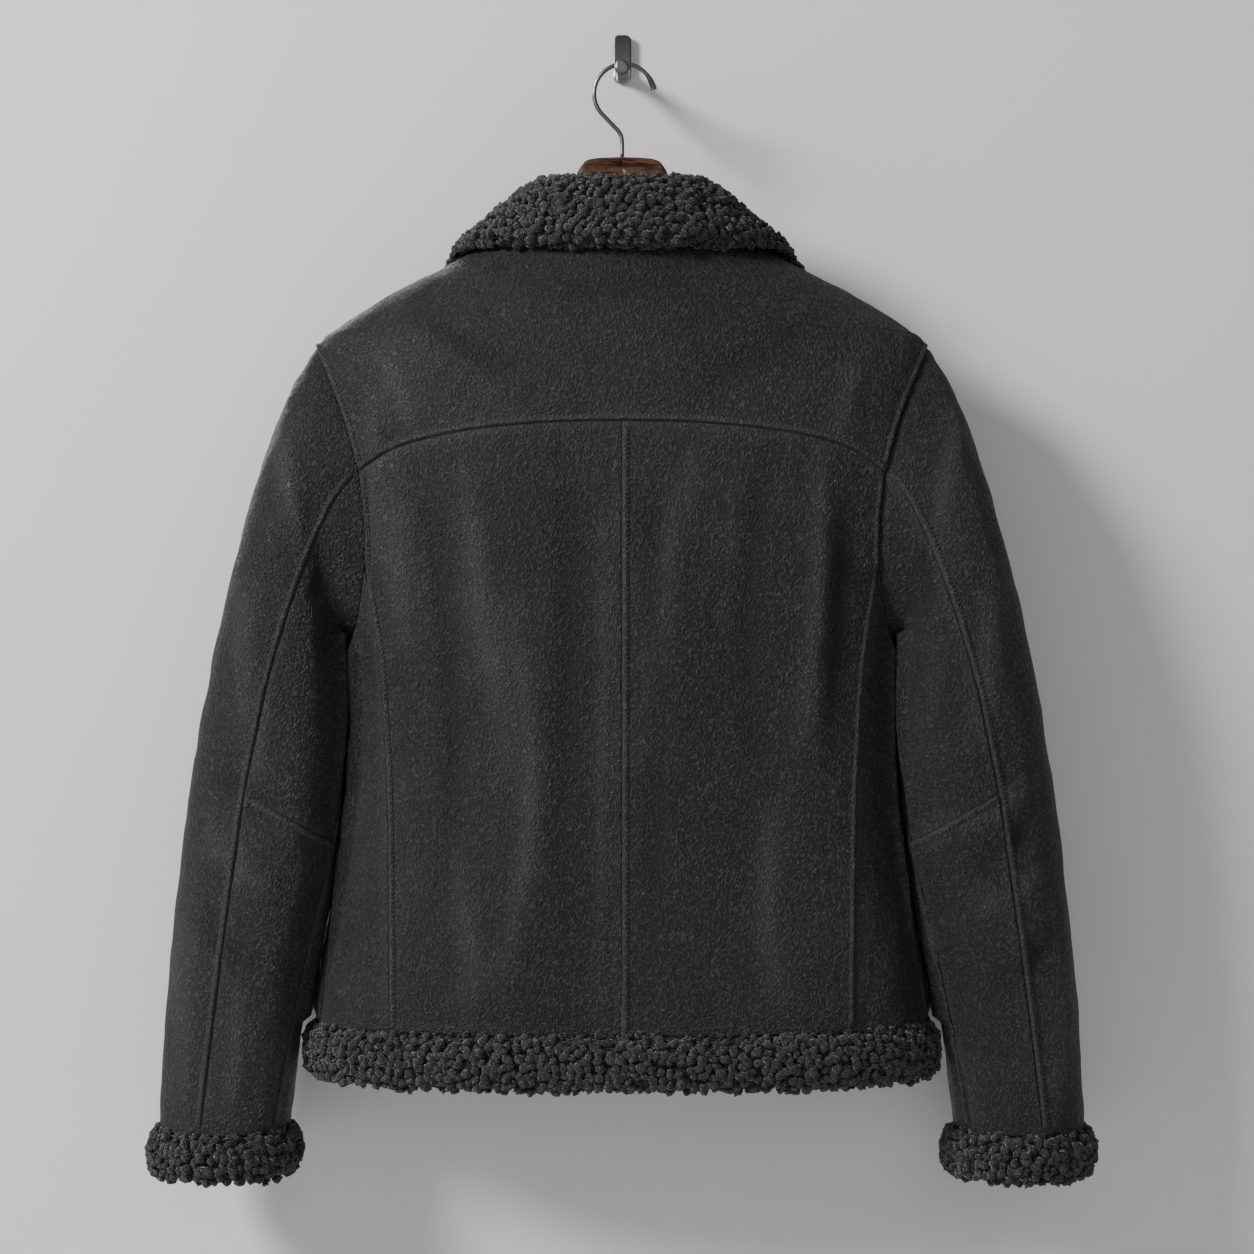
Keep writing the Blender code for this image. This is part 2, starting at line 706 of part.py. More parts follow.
def sleeve_piece(name, side, angles, rows, edges):
    outer, inner, normals = sleeve_grid(side, angles, rows)
    moved = draw_in(outer, normals, edges)
    shifted = [[inner[j][i] + moved[j][i] - outer[j][i] for i in range(len(outer[0]))]
               for j in range(len(outer))]
    return wall_mesh(name, moved, normals, SLEEVE_WALL, inner=shifted)


def sleeve_meshes(side, word):
    """Outer sleeve round the front, and the under sleeve in two, parted at the elbow seam."""
    top_parts = ARM_ANGLES["front"] + [angle + 360 for angle in ARM_ANGLES["yoke"][1:]]
    top_angles = ring_angles(top_parts, lambda row: (SEAMS_AT["inner_seam"](row),
                                                     SEAMS_AT["back_seam"](row) + 360))
    under_parts = ARM_ANGLES["back"] + ARM_ANGLES["side"][1:]
    under_angles = ring_angles(under_parts, lambda row: (SEAMS_AT["back_seam"](row),
                                                         SEAMS_AT["inner_seam"](row)))
    upper_rows = [row for row in SLEEVE_ROWS if row <= ELBOW_ROW]
    lower_rows = [row for row in SLEEVE_ROWS if row >= ELBOW_ROW]
    return [
        sleeve_piece(f"sleeve_top_{word}", side, top_angles, SLEEVE_ROWS, ("top", "left", "right")),
        sleeve_piece(f"sleeve_under_upper_{word}", side, under_angles, upper_rows,
                     ("top", "left", "right")),
        sleeve_piece(f"sleeve_under_lower_{word}", side, under_angles, lower_rows,
                     ("bottom", "top", "left", "right")),
    ]


# Fur bands

def hem_section(turn, side):
    """Section of the hem's fur at one turn of the torso."""
    section = []
    for row in FUR_BAND:
        z = HEM_Z - SEAM - row.down * HEM_DEPTH
        section.append(torso_lift(turn, z, side, row.out * FUR_PROUD)[0])
    return section


def hem_meshes():
    seam = SIDE_SEAM_AT(HEM_Z)
    hair = degrees(SEAM / 2 / TORSO_AT["half_width"](HEM_Z))
    front = -turn_of(ZIP_HALF_GAP, HEM_Z)
    back_turns = steps(90, seam + hair * 2, 12)
    back = [hem_section(turn, -1) for turn in back_turns[:0:-1]] + [hem_section(t, 1) for t in back_turns]
    meshes = [section_loft("hem_fur_back", back)]
    for side, word in ((-1, "left"), (1, "right")):
        turns = steps(seam - hair * 2, front, 14)
        meshes.append(section_loft(f"hem_fur_{word}", [hem_section(t, side) for t in turns]))
    return meshes


def cuff_mesh(side, word):
    sections = []
    cuff_rows = (SLEEVE[-1].z_out - SLEEVE[CUFF_ROW].z_out) / (SLEEVE[-1].row - CUFF_ROW)
    for angle in steps(0, 360, 24)[:-1]:
        section = []
        for row in FUR_BAND:
            down = SEAM + row.down * CUFF_DEPTH
            ring = CUFF_ROW - down / cuff_rows
            normal = sleeve_normal(ring, angle, side)
            section.append(sleeve_point(ring, angle, side) + normal * (row.out * 0.0105))
        sections.append(section)
    return section_loft(f"cuff_fur_{word}", sections, ring=True)


# Collar

def collar_section(turn, side):
    """Section of the folded collar: fall, fold and stand, over the neck edge."""
    at = {name: curve(turn) for name, curve in COLLAR_AT.items()}
    z_neck, z_edge = NECK_AT(turn), at["z_edge"]
    tip = torso_lift(turn, z_edge, side, COLLAR_EDGE_LIFT)[0]
    fold = Vector((at["x_fold"] * side, at["y_fold"], at["z_fold"]))
    chord = fold - tip
    to_axis = Vector((-fold.x, -fold.y, 0)).normalized()
    outward = -(to_axis - chord.normalized() * to_axis.dot(chord.normalized())).normalized()
    section = [tip]
    for row in FALL:
        section.append(tip + chord * row.along + outward * row.swell * at["swell"])
    section.append(fold)
    section.append(fold + to_axis * FOLD_THICK * 0.75 - Vector((0, 0, 0.004)))
    section.append(fold + to_axis * FOLD_THICK - Vector((0, 0, 0.017)))
    seam, normal = torso_lift(turn, z_neck, side)
    upward = (torso_lift(turn, z_neck + 0.003, side)[0] - seam).normalized()
    seam_in = seam - normal * WALL + upward * NECK_GAP
    section.append((section[-1] + seam_in) / 2 + to_axis * 0.002)
    section.append(seam_in)
    section.append(seam + upward * NECK_GAP)
    for share in (0.80, 0.50, 0.20):
        z = z_edge + (z_neck - z_edge) * share
        section.append(torso_lift(turn, z, side, COLLAR_CLEAR)[0])
    return section


def collar_mesh():
    front = front_edge_line(1)[-1][0]
    turns = steps(90, NECK_POINT, BACK_COLUMNS) + steps(NECK_POINT, front, FRONT_COLUMNS)[1:]
    left = [collar_section(turn, -1) for turn in turns[:0:-1]]
    right = [collar_section(turn, 1) for turn in turns]
    return section_loft("collar", left + right)


# Zip

def zip_tape_mesh(side, word):
    """Tape strip beside the teeth, sunk a little below the front's face."""
    rows = SEAM_ROWS + FRONT_ARM_ROWS + SHOULDER_ROWS
    points, normals = [], []
    for z in steps(HEM_Z, NECK_AT(-90) - SEAM, rows):
        row = [torso_lift(-turn_of(x, z), z, side, -0.0015) for x in (SEAM, ZIP_HALF_GAP - SEAM)]
        points.append([point for point, _ in row])
        normals.append([normal for _, normal in row])
    return wall_mesh(f"zip_tape_{word}", points, normals, ZIP_TAPE)


def slider_frame():
    """Middle of the slider's back on the closed tapes, and its tilt about X."""
    point, normal = torso_lift(-90, SLIDER_Z, 1, -0.0015 + SEAM)
    return point, atan(normal.z / normal.y)


SLIDER_SIZE = Vector((0.0100, 0.0032, 0.0130))
BRIDGE_HALF_WIDE = 0.0006
BRIDGE_THICK = 0.0012
BRIDGE_CLEAR = 0.0026    # between the slider's face and the bridge
BRIDGE_TOP = 0.0042      # bridge's ends, above and below the tab's axis
BRIDGE_LOW = 0.0045
TAB_AXIS = SLIDER_SIZE.y + BRIDGE_CLEAR / 2
TAB_THICK = 0.0014
TAB_HALF_WIDE = 0.0040
TAB_LENGTH = 0.024
TAB_WINDOW_HALF = 0.0022
TAB_WINDOW_LOW = 0.0062


def slider_mesh():
    """Slider body with its bridge, joined into one; the tab's axis is its origin."""
    body = bmesh.new()
    bmesh.ops.create_cube(body, size=1.0)
    bmesh.ops.scale(body, vec=SLIDER_SIZE, verts=body.verts)
    for vert in body.verts:
        if vert.co.z < 0:
            vert.co.x *= 0.78
    upright = [edge for edge in body.edges if abs(edge.verts[0].co.z - edge.verts[1].co.z) < 1e-6]
    bmesh.ops.bevel(body, geom=upright, offset=0.0007, segments=2, affect="EDGES", profile=0.5)
    bmesh.ops.translate(body, vec=(0, SLIDER_SIZE.y / 2 - TAB_AXIS, 0), verts=body.verts)
    body_mesh = finish_mesh("slider_body", body)

    face = SLIDER_SIZE.y - TAB_AXIS
    crest = face + BRIDGE_CLEAR + BRIDGE_THICK
    outline = [(face - 0.0010, BRIDGE_TOP), (crest - 0.0008, BRIDGE_TOP), (crest, BRIDGE_TOP - 0.0010),
               (crest, -BRIDGE_LOW + 0.0010), (crest - 0.0008, -BRIDGE_LOW), (face - 0.0010, -BRIDGE_LOW),
               (face - 0.0010, -BRIDGE_LOW + BRIDGE_THICK), (face + BRIDGE_CLEAR, -BRIDGE_LOW + BRIDGE_THICK),
               (face + BRIDGE_CLEAR, BRIDGE_TOP - BRIDGE_THICK), (face - 0.0010, BRIDGE_TOP - BRIDGE_THICK)]
    bridge = bmesh.new()
    corners = [bridge.verts.new((-BRIDGE_HALF_WIDE, y, z)) for y, z in outline]
    flat = bridge.faces.new(corners)
    grown = bmesh.ops.extrude_face_region(bridge, geom=[flat], use_keep_orig=True)
    moved = [item for item in grown["geom"] if isinstance(item, bmesh.types.BMVert)]
    bmesh.ops.translate(bridge, vec=(2 * BRIDGE_HALF_WIDE, 0, 0), verts=moved)
    return body_mesh, finish_mesh("slider_bridge", bridge)


def tab_mesh():
    """Flat pull tab: an outline with a window that the slider's bridge passes through."""
    curve = bpy.data.curves.new("zip_pull_tab", "CURVE")
    curve.dimensions = "2D"
    curve.fill_mode = "BOTH"
    curve.extrude = TAB_THICK / 2
    top, low, side = TAB_THICK / 2, -TAB_LENGTH, TAB_HALF_WIDE
    corner = 0.0012
    round_end = [(side * cos(radians(a)), low + side * (1 - sin(radians(a))))
                 for a in range(0, 181, 20)]
    outline = [(-side, low + side + 0.004), (-side, top - corner), (-side + corner, top),
               (side - corner, top), (side, top - corner), (side, low + side + 0.004)] + round_end
    window = [(-TAB_WINDOW_HALF, -top), (TAB_WINDOW_HALF, -top), (TAB_WINDOW_HALF, -TAB_WINDOW_LOW),
              (-TAB_WINDOW_HALF, -TAB_WINDOW_LOW)]
    for loop in (outline, window):
        spline = curve.splines.new("POLY")
        spline.points.add(len(loop) - 1)
        for point, (x, y) in zip(spline.points, loop):
            point.co = (x, y, 0, 1)
        spline.use_cyclic_u = True
    return solid_from_curve(curve)


def solid_from_curve(curve):
    """Mesh of a filled curve, welded, with its faces turned outwards."""
    guide = bpy.data.objects.new(curve.name, curve)
    bpy.context.scene.collection.objects.link(guide)
    bpy.context.view_layer.update()
    graph = bpy.context.evaluated_depsgraph_get()
    mesh = bpy.data.meshes.new_from_object(guide.evaluated_get(graph))
    bpy.data.objects.remove(guide)
    bm = bmesh.new()
    bm.from_mesh(mesh)
    bmesh.ops.remove_doubles(bm, verts=bm.verts, dist=1e-6)
    return finish_mesh(curve.name, bm)


# Hanger and hook

def hanger_mesh(side, word, rest_height):
    """Half of the wooden hanger; the two halves meet in a glued joint at the middle."""
    deep_at = smooth_curve(HANGER, "x", "deep")
    arm = []
    last = HANGER[-1]
    for x in steps(last.x, HANGER_REACH, HANGER_ARM_STATIONS)[1:]:
        share = (x - last.x) / (HANGER_REACH - last.x)
        arm.append((x, rest_height(x * side), HANGER_ARM_DEEP + (HANGER_TIP_DEEP - HANGER_ARM_DEEP) * share,
                    last.half_thick + 0.002 * share))
    stations = [(max(row.x, SEAM / 2), row.top, deep_at(row.x), row.half_thick) for row in HANGER] + arm
    x, top, deep, half = stations[-1]
    stations.append((x + 0.004, top - deep * 0.22, deep * 0.60, half * 0.7))
    sections = []
    for x, top, deep, half in stations:
        section = []
        for angle in range(0, 360, 36):
            c, s = cos(radians(angle + 90)), sin(radians(angle + 90))
            y = half * abs(c) ** 0.75 * (1 if c > 0 else -1)
            z = deep / 2 * abs(s) ** 0.75 * (1 if s > 0 else -1)
            section.append(Vector((x * side, y, top - deep / 2 + z)))
        sections.append(section)
    return section_loft(f"hanger_{word}", sections)


def wire_points():
    """Loop over the wall hook, then a bend back to the stem in the middle of the wood."""
    centre = Vector((WIRE_SHIFT, 0, WIRE_CROWN - WIRE_LOOP))
    points = [centre + Vector((cos(radians(a)), 0, sin(radians(a)))) * WIRE_LOOP
              for a in range(8, 233, 14)]
    top_of_wood = HANGER[0].top + SEAM
    points.append(Vector((-0.0062, 0, top_of_wood + 0.0235)))
    points.append(Vector((-0.0022, 0, top_of_wood + 0.0196)))
    points.append(Vector((-0.0003, 0, top_of_wood + 0.0158)))
    points.append(Vector((0, 0, top_of_wood + 0.0110)))
    points.append(Vector((0, 0, top_of_wood)))
    return points


def tube_curve(name, points, radii, depth):
    """Round rod along points, as a curve with filled caps."""
    curve = bpy.data.curves.new(name, "CURVE")
    curve.dimensions = "3D"
    curve.bevel_depth = depth
    curve.bevel_resolution = 2
    curve.use_fill_caps = True
    spline = curve.splines.new("POLY")
    spline.points.add(len(points) - 1)
    for point, place, radius in zip(spline.points, points, radii):
        point.co = (*place, 1)
        point.radius = radius / depth
    return curve


def hook_arm():
    """Rod that drops from the plate to the wire's seat and ends in a wider round nose."""
    seat = HANG_Z + WIRE_CROWN - WIRE - SEAM - ARM_RADIUS
    start = Vector((0, -PLATE_THICK - SEAM, seat + 0.015))
    points, radii = [start], [ROOT_RADIUS]
    run = start + Vector((0, -0.004, 0))
    for t in steps(0, 1, 8):
        y = run.y + (HANG_Y + 0.020 - run.y) * t
        points.append(Vector((0, y, start.z + (seat - start.z) * ease(t))))
        radii.append(ROOT_RADIUS + (ARM_RADIUS - ROOT_RADIUS) * ease(t * 2))
    for y, radius in ((HANG_Y - 0.006, ARM_RADIUS), (NOSE_Y + 0.009, ARM_RADIUS),
                      (NOSE_Y + 0.006, NOSE_RADIUS - 0.0005), (NOSE_Y + 0.004, NOSE_RADIUS),
                      (NOSE_Y + 0.001, NOSE_RADIUS), (NOSE_Y, NOSE_RADIUS - 0.0006)):
        points.append(Vector((0, y, seat)))
        radii.append(radius)
    return tube_curve("wall_hook_arm", points, radii, ARM_RADIUS)


def plate_mesh():
    """Upright plate with rounded ends, flat against the wall."""
    bm = bmesh.new()
    bmesh.ops.create_cube(bm, size=1.0)
    bmesh.ops.scale(bm, vec=(PLATE_WIDE, PLATE_THICK, PLATE_TALL), verts=bm.verts)
    bmesh.ops.translate(bm, vec=(0, -PLATE_THICK / 2, 0), verts=bm.verts)
    corners = [edge for edge in bm.edges if abs(edge.verts[0].co.y - edge.verts[1].co.y) > 1e-6]
    bmesh.ops.bevel(bm, geom=corners, offset=0.0045, segments=4, affect="EDGES", profile=0.5)
    rim = [edge for edge in bm.edges if all(v.co.y < -PLATE_THICK + 1e-6 for v in edge.verts)]
    bmesh.ops.bevel(bm, geom=rim, offset=0.0012, segments=2, affect="EDGES", profile=0.5)
    return finish_mesh("wall_hook_plate", bm)


def yoke_rest(yoke):
    """Height of the yoke's wool above the hanger, found on the yoke's own faces."""
    tree = BVHTree.FromPolygons([v.co.copy() for v in yoke.vertices],
                                [tuple(p.vertices) for p in yoke.polygons])

    def height(x):
        heights = []
        for y in (-0.005, 0.0, 0.005):
            hit = tree.ray_cast(Vector((x, y, -0.30)), Vector((0, 0, 1)))[0]
            heights.append(hit.z)
        return min(heights) - HANGER_REST

    return height


def build():
    clear_scene()
    part = bpy.data.collections.new("flying_jacket")
    bpy.context.scene.collection.children.link(part)
    cutters = bpy.data.collections.new("cutters")
    bpy.context.scene.collection.children.link(cutters)
    line = bpy.data.objects.new("hanging_line", None)
    line.location = (0, HANG_Y, HANG_Z)
    part.objects.link(line)

    yoke = yoke_mesh()
    add("back_yoke", yoke, "leather", line, part)
    for side, word in ((-1, "left"), (1, "right")):
        for piece, grid in (("back", back_grid()), ("side", side_grid()), ("front", front_grid())):
            name = f"{piece}_{word}"
            add(name, torso_panel(name, grid, side), "leather", line, part)
        for mesh in sleeve_meshes(side, word):
            add(mesh.name, mesh, "leather", line, part)
        add(f"cuff_fur_{word}", cuff_mesh(side, word), "fur", line, part)
        add(f"zip_tape_{word}", zip_tape_mesh(side, word), "tape", line, part)
        add(f"hanger_{word}", hanger_mesh(side, word, yoke_rest(yoke)), "wood", line, part)
    for mesh in hem_meshes():
        add(mesh.name, mesh, "fur", line, part)
    add("collar", collar_mesh(), "fur", line, part)

    back_of_slider, tilt = slider_frame()
    turn = Matrix.Rotation(tilt, 4, "X")
    axis_point = back_of_slider + turn @ Vector((0, TAB_AXIS, 0))
    body_mesh, bridge_mesh = slider_mesh()
    slider = add("zip_slider", body_mesh, "brass", line, part)
    on_axis = Matrix.Translation(axis_point) @ turn
    slider.matrix_local = on_axis
    bridge = bpy.data.objects.new("slider_bridge", bridge_mesh)
    bridge.parent = line
    bridge.matrix_local = on_axis
    bridge.hide_render = True
    bridge.display_type = "WIRE"
    cutters.objects.link(bridge)
    join = slider.modifiers.new("bridge", "BOOLEAN")
    join.operation = "UNION"
    join.solver = "EXACT"
    join.object = bridge
    tab = add("zip_pull_tab", tab_mesh(), "brass", line, part)
    tab.matrix_local = on_axis @ Matrix.Rotation(pi / 2, 4, "X")

    wire = wire_points()
    wire_radii = [WIRE * 1.45, WIRE * 1.45] + [WIRE] * (len(wire) - 2)
    add("hanger_hook", tube_curve("hanger_hook", wire, wire_radii, WIRE), "steel", line, part)
    add("wall_hook_arm", hook_arm(), "steel", None, part)
    add("wall_hook_plate", plate_mesh(), "steel", None, part)


build()
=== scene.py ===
"""Sheepskin flying jacket on a wooden hanger: the looks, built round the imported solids.

Metres, +Z up. The wall is the plane y = 0, the back of the jacket faces -Y. Lengths written as
"local" are counted from the hanging line, the crown of the hanger's wire.
"""

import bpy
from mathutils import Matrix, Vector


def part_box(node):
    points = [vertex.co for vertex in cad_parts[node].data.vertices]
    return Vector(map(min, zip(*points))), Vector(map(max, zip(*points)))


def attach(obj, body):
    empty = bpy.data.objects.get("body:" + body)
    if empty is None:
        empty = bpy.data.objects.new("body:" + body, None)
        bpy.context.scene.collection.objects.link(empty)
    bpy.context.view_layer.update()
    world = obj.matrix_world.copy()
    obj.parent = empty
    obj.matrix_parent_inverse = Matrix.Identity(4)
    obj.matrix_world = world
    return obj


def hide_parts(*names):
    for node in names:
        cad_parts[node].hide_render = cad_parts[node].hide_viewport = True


bl_info = {
    "name": "Flying jacket on a hanger",
    "version": (1, 0, 0),
    "blender": (4, 5, 0),
    "location": "View3D > Sidebar > Jacket",
    "description": "Leather, wool, seams, zip, hanger and hook of a hung sheepskin jacket",
    "category": "Object",
}

import bmesh
import bpy
import numpy as np
from math import pi, radians, sin
from mathutils import Matrix, Vector, noise
from mathutils.bvhtree import BVHTree
from mathutils.kdtree import KDTree

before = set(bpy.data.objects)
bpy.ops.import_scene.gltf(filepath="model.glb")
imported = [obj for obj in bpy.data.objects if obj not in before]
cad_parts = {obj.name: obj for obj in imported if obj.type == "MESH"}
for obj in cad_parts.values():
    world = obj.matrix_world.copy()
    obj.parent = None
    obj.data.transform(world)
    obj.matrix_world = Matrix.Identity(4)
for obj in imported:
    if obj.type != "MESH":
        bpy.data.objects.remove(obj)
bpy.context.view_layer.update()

HANG_Y = -0.086
HANG_Z = -0.0235
SIDES = ((-1, "left"), (1, "right"))
OUTSIDE, WOOL_SIDE, CUT_EDGE = 0, 1, 2     # material slots of a leather piece


# Sizes and colours that a user would change

def tone(name, description, default):
    return bpy.props.FloatVectorProperty(name=name, description=description, subtype="COLOR",
                                         default=default, min=0, max=1)


def length(name, description, default):
    return bpy.props.FloatProperty(name=name, description=description, unit="LENGTH",
                                   default=default)


class JacketLeather(bpy.types.PropertyGroup):
    dark: tone("Dark tone", "Colour of the leather between its creases", (0.0040, 0.0038, 0.0036))
    # The light tone also gives the painted highlight on the creases' crests.
    light: tone("Light tone", "Colour of the worn crests", (0.053, 0.0505, 0.0472))
    crinkle: length("Crinkle size", "Length of the small crinkles in the finish", 0.0034)
    crease_depth: bpy.props.FloatProperty(
        name="Crease depth", description="Multiplies the height of the hand-placed creases",
        subtype="FACTOR", default=1.85, min=0, max=2)
    welt_width: length("Welt width", "Width of the lapped welt beside a seam", 0.0044)
    stitch_pitch: length("Stitch pitch", "Distance between two stitches", 0.0034)


class JacketFur(bpy.types.PropertyGroup):
    tone: tone("Wool tone", "Colour of the curly wool", (0.046, 0.043, 0.0415))
    # Painted shade: the colour given to the gaps between curls and between tufts.
    gap_shade_tone: tone("Tone between curls", "Colour of the wool in the gaps between curls",
                     (0.0072, 0.0068, 0.0066))
    curl: length("Curl size", "Width of one curl", 0.0074)
    spacing: length("Curl spacing", "Smallest distance between two curls", 0.0046)


class JacketHanger(bpy.types.PropertyGroup):
    wood: tone("Wood tone", "Colour of the lacquered wood", (0.106, 0.043, 0.021))
    steel: tone("Steel tone", "Colour of the wire and the wall hook", (0.16, 0.155, 0.148))


# Shader maths

class Value:
    """A shader socket that takes part in sums; numbers alone stay in Python."""

    def __init__(self, finish, socket):
        self.finish, self.socket = finish, socket

    def math(self, operation, *others, clamp=False):
        inputs = {i: value for i, value in enumerate((self, *others))}
        return self.finish.node("ShaderNodeMath", {"operation": operation, "use_clamp": clamp}, inputs)

    def __add__(self, other):
        return self.math("ADD", other)

    def __sub__(self, other):
        return self.math("SUBTRACT", other)

    def __mul__(self, other):
        return self.math("MULTIPLY", other)

    def __rsub__(self, other):
        return self.finish.node("ShaderNodeMath", {"operation": "SUBTRACT"}, {0: other, 1: self})

    __radd__ = __add__
    __rmul__ = __mul__

    def between(self, low, high):
        """0 below low, 1 above high, soft between."""
        return self.finish.node("ShaderNodeMapRange", {"interpolation_type": "SMOOTHSTEP"},
                                {"Value": self, "From Min": low, "From Max": high})


class Finish:
    """One material in the making."""

    def __init__(self, name):
        self.material = bpy.data.materials.new(name)
        self.material.use_nodes = True
        self.tree = self.material.node_tree
        self.shader = self.tree.nodes["Principled BSDF"]

    def node(self, kind, settings=None, inputs=None, out=0):
        node = self.tree.nodes.new(kind)
        for key, value in (settings or {}).items():
            setattr(node, key, value)
        for key, value in (inputs or {}).items():
            self.feed(node.inputs[key], value)
        return Value(self, node.outputs[out])

    def feed(self, socket, value):
        if isinstance(value, Value):
            self.tree.links.new(value.socket, socket)
        elif socket.type == "RGBA" and len(value) == 3:
            socket.default_value = (*value, 1.0)
        else:
            socket.default_value = value

    def place(self, scale=(1, 1, 1), turn=(0, 0, 0)):
        where = self.node("ShaderNodeTexCoord", out="Object")
        return self.node("ShaderNodeMapping", None, {"Vector": where, "Scale": scale, "Rotation": turn})

    def noise(self, where, scale, detail=2.0, rough=0.5, distort=0.0):
        return self.node("ShaderNodeTexNoise", None,
                         {"Vector": where, "Scale": scale, "Detail": detail, "Roughness": rough,
                          "Distortion": distort})

    def cells(self, where, scale, feature="F1"):
        return self.node("ShaderNodeTexVoronoi", {"feature": feature},
                         {"Vector": where, "Scale": scale, "Randomness": 1.0}, "Distance")

    def bend(self, where, amount, scale):
        """Coordinates pushed about by a noise, for crooked patterns."""
        push = self.node("ShaderNodeTexNoise", None, {"Vector": where, "Scale": scale, "Detail": 2.0},
                         "Color")
        centred = self.node("ShaderNodeVectorMath", {"operation": "SUBTRACT"},
                            {0: push, 1: (0.5, 0.5, 0.5)})
        scaled = self.node("ShaderNodeVectorMath", {"operation": "SCALE"},
                           {0: centred, "Scale": amount})
        return self.node("ShaderNodeVectorMath", {"operation": "ADD"}, {0: where, 1: scaled})

    def mix(self, share, one, other):
        return self.node("ShaderNodeMix", {"data_type": "RGBA"}, {"Factor": share, 6: one, 7: other}, 2)

    def bump(self, height, distance, strength=1.0, under=None):
        inputs = {"Height": height, "Distance": distance, "Strength": strength}
        if under:
            inputs["Normal"] = under
        return self.node("ShaderNodeBump", None, inputs)

    def attribute(self, name):
        return self.node("ShaderNodeAttribute", {"attribute_name": name}, None, "Fac")

    def set(self, **values):
        names = {"colour": "Base Color", "roughness": "Roughness", "metallic": "Metallic",
                 "normal": "Normal", "sheen": "Sheen Weight", "sheen_roughness": "Sheen Roughness",
                 "sheen_tint": "Sheen Tint", "specular": "Specular IOR Level", "coat": "Coat Weight",
                 "coat_roughness": "Coat Roughness"}
        for key, value in values.items():
            self.feed(self.shader.inputs[names[key]], value)
        return self.material


FINISHES = {}


def finish(name):
    """Each finish is made once and shared."""
    if name not in FINISHES:
        FINISHES[name] = MAKERS[name]()
    return FINISHES[name]


def leather_finish():
    """Worn matt sheepskin leather: short crooked crinkles, soft clouds, painted highlight on crease
    crests and painted shade in their troughs.
    """
    props = bpy.context.scene.jacket_leather
    m = Finish("sheepskin_leather")
    where = m.place()
    crooked = m.bend(where, 0.0040, 210.0)
    size = 1.0 / props.crinkle
    walls = m.cells(crooked, size, "DISTANCE_TO_EDGE")
    strokes = (1 - walls.between(0.04, 0.22)) * m.noise(where, size * 1.1, 1.0, 0.5).between(0.42, 0.54)
    nicks = 1 - m.cells(m.bend(where, 0.002, 400.0), size * 1.7, "DISTANCE_TO_EDGE").between(0.02, 0.20)
    mottle = m.noise(where, 150.0, 2.0, 0.6)
    clouds = m.noise(where, 15.0, 3.0, 0.55, 0.4)
    broad = m.noise(where, 5.2, 1.0, 0.5)
    share = (strokes * 0.52 + nicks * 0.16 + (mottle - 0.5) * 0.24 + (clouds - 0.5) * 0.40
             + (broad - 0.5) * 0.44 - 0.01)
    # Painted highlight on the creases' crests and painted shade in their troughs, from the crease
    # heights.
    share = share + m.attribute("seam_wear") * 0.24 + m.attribute("fold_light_shade") * 0.40
    colour = m.mix(share.math("MAXIMUM", 0.0, clamp=True), props.dark, props.light)
    height = strokes * 0.9 + nicks * 0.4 + m.noise(crooked, size * 0.8, 2.0, 0.6) * 0.5
    fine = m.bump(height, 0.0019, 1.0)
    lumps = m.bump(clouds + m.noise(where, 60.0, 2.0) * 0.5, 0.0022, 0.6, fine)
    return m.set(colour=colour, roughness=0.58 - strokes * 0.14 + (mottle - 0.5) * 0.2, normal=lumps,
                 specular=0.32, sheen=0.04, sheen_roughness=0.45)


def cut_edge_finish():
    """The rim of a cut sheepskin: dark dyed leather edge with fibres."""
    m = Finish("cut_leather_edge")
    where = m.place()
    fibre = m.noise(where, 900.0, 2.0, 0.6)
    colour = m.mix(fibre.between(0.3, 0.8), (0.010, 0.0095, 0.009), (0.030, 0.028, 0.026))
    return m.set(colour=colour, roughness=0.85, normal=m.bump(fibre, 0.0004, 0.7))


def thread_finish():
    m = Finish("topstitch_thread")
    where = m.place()
    twist = m.noise(where, 2600.0, 1.0)
    colour = m.mix(twist, (0.0045, 0.0043, 0.004), (0.020, 0.019, 0.018))
    return m.set(colour=colour, roughness=0.55, normal=m.bump(twist, 0.0002, 0.6), sheen=0.2)


def curl_finish():
    """Curly wool: fine fibres along the curls, painted light towards their tops and painted shade where
    they meet the skin.
    """
    props = bpy.context.scene.jacket_fur
    m = Finish("curly_wool")
    where = m.place()
    crooked = m.bend(where, 0.006, 170.0)
    strands = 1 - ((m.noise(crooked, 300.0, 1.0, 0.5) - 0.5) * 9).math("ABSOLUTE", clamp=True)
    fibre = m.noise(crooked, 900.0, 2.0, 0.65)
    clumps = m.noise(where, 120.0, 2.0, 0.6)
    broad = m.noise(where, 22.0, 2.0)
    # Painted light and shade: lighter towards each curl's top, darker towards its root.
    share = (m.attribute("curl_painted_light") * 0.62 + (strands - 0.4) * 0.34 + (fibre - 0.5) * 0.4
             + (clumps - 0.5) * 0.5 + (broad - 0.5) * 0.3)
    colour = m.mix(share.math("MAXIMUM", 0.0, clamp=True), props.gap_shade_tone, props.tone)
    return m.set(colour=colour, roughness=0.88, normal=m.bump(strands * 0.8 + fibre * 0.5, 0.0022, 1.0),
                 specular=0.22, sheen=0.30, sheen_roughness=0.35, sheen_tint=(0.75, 0.73, 0.72))


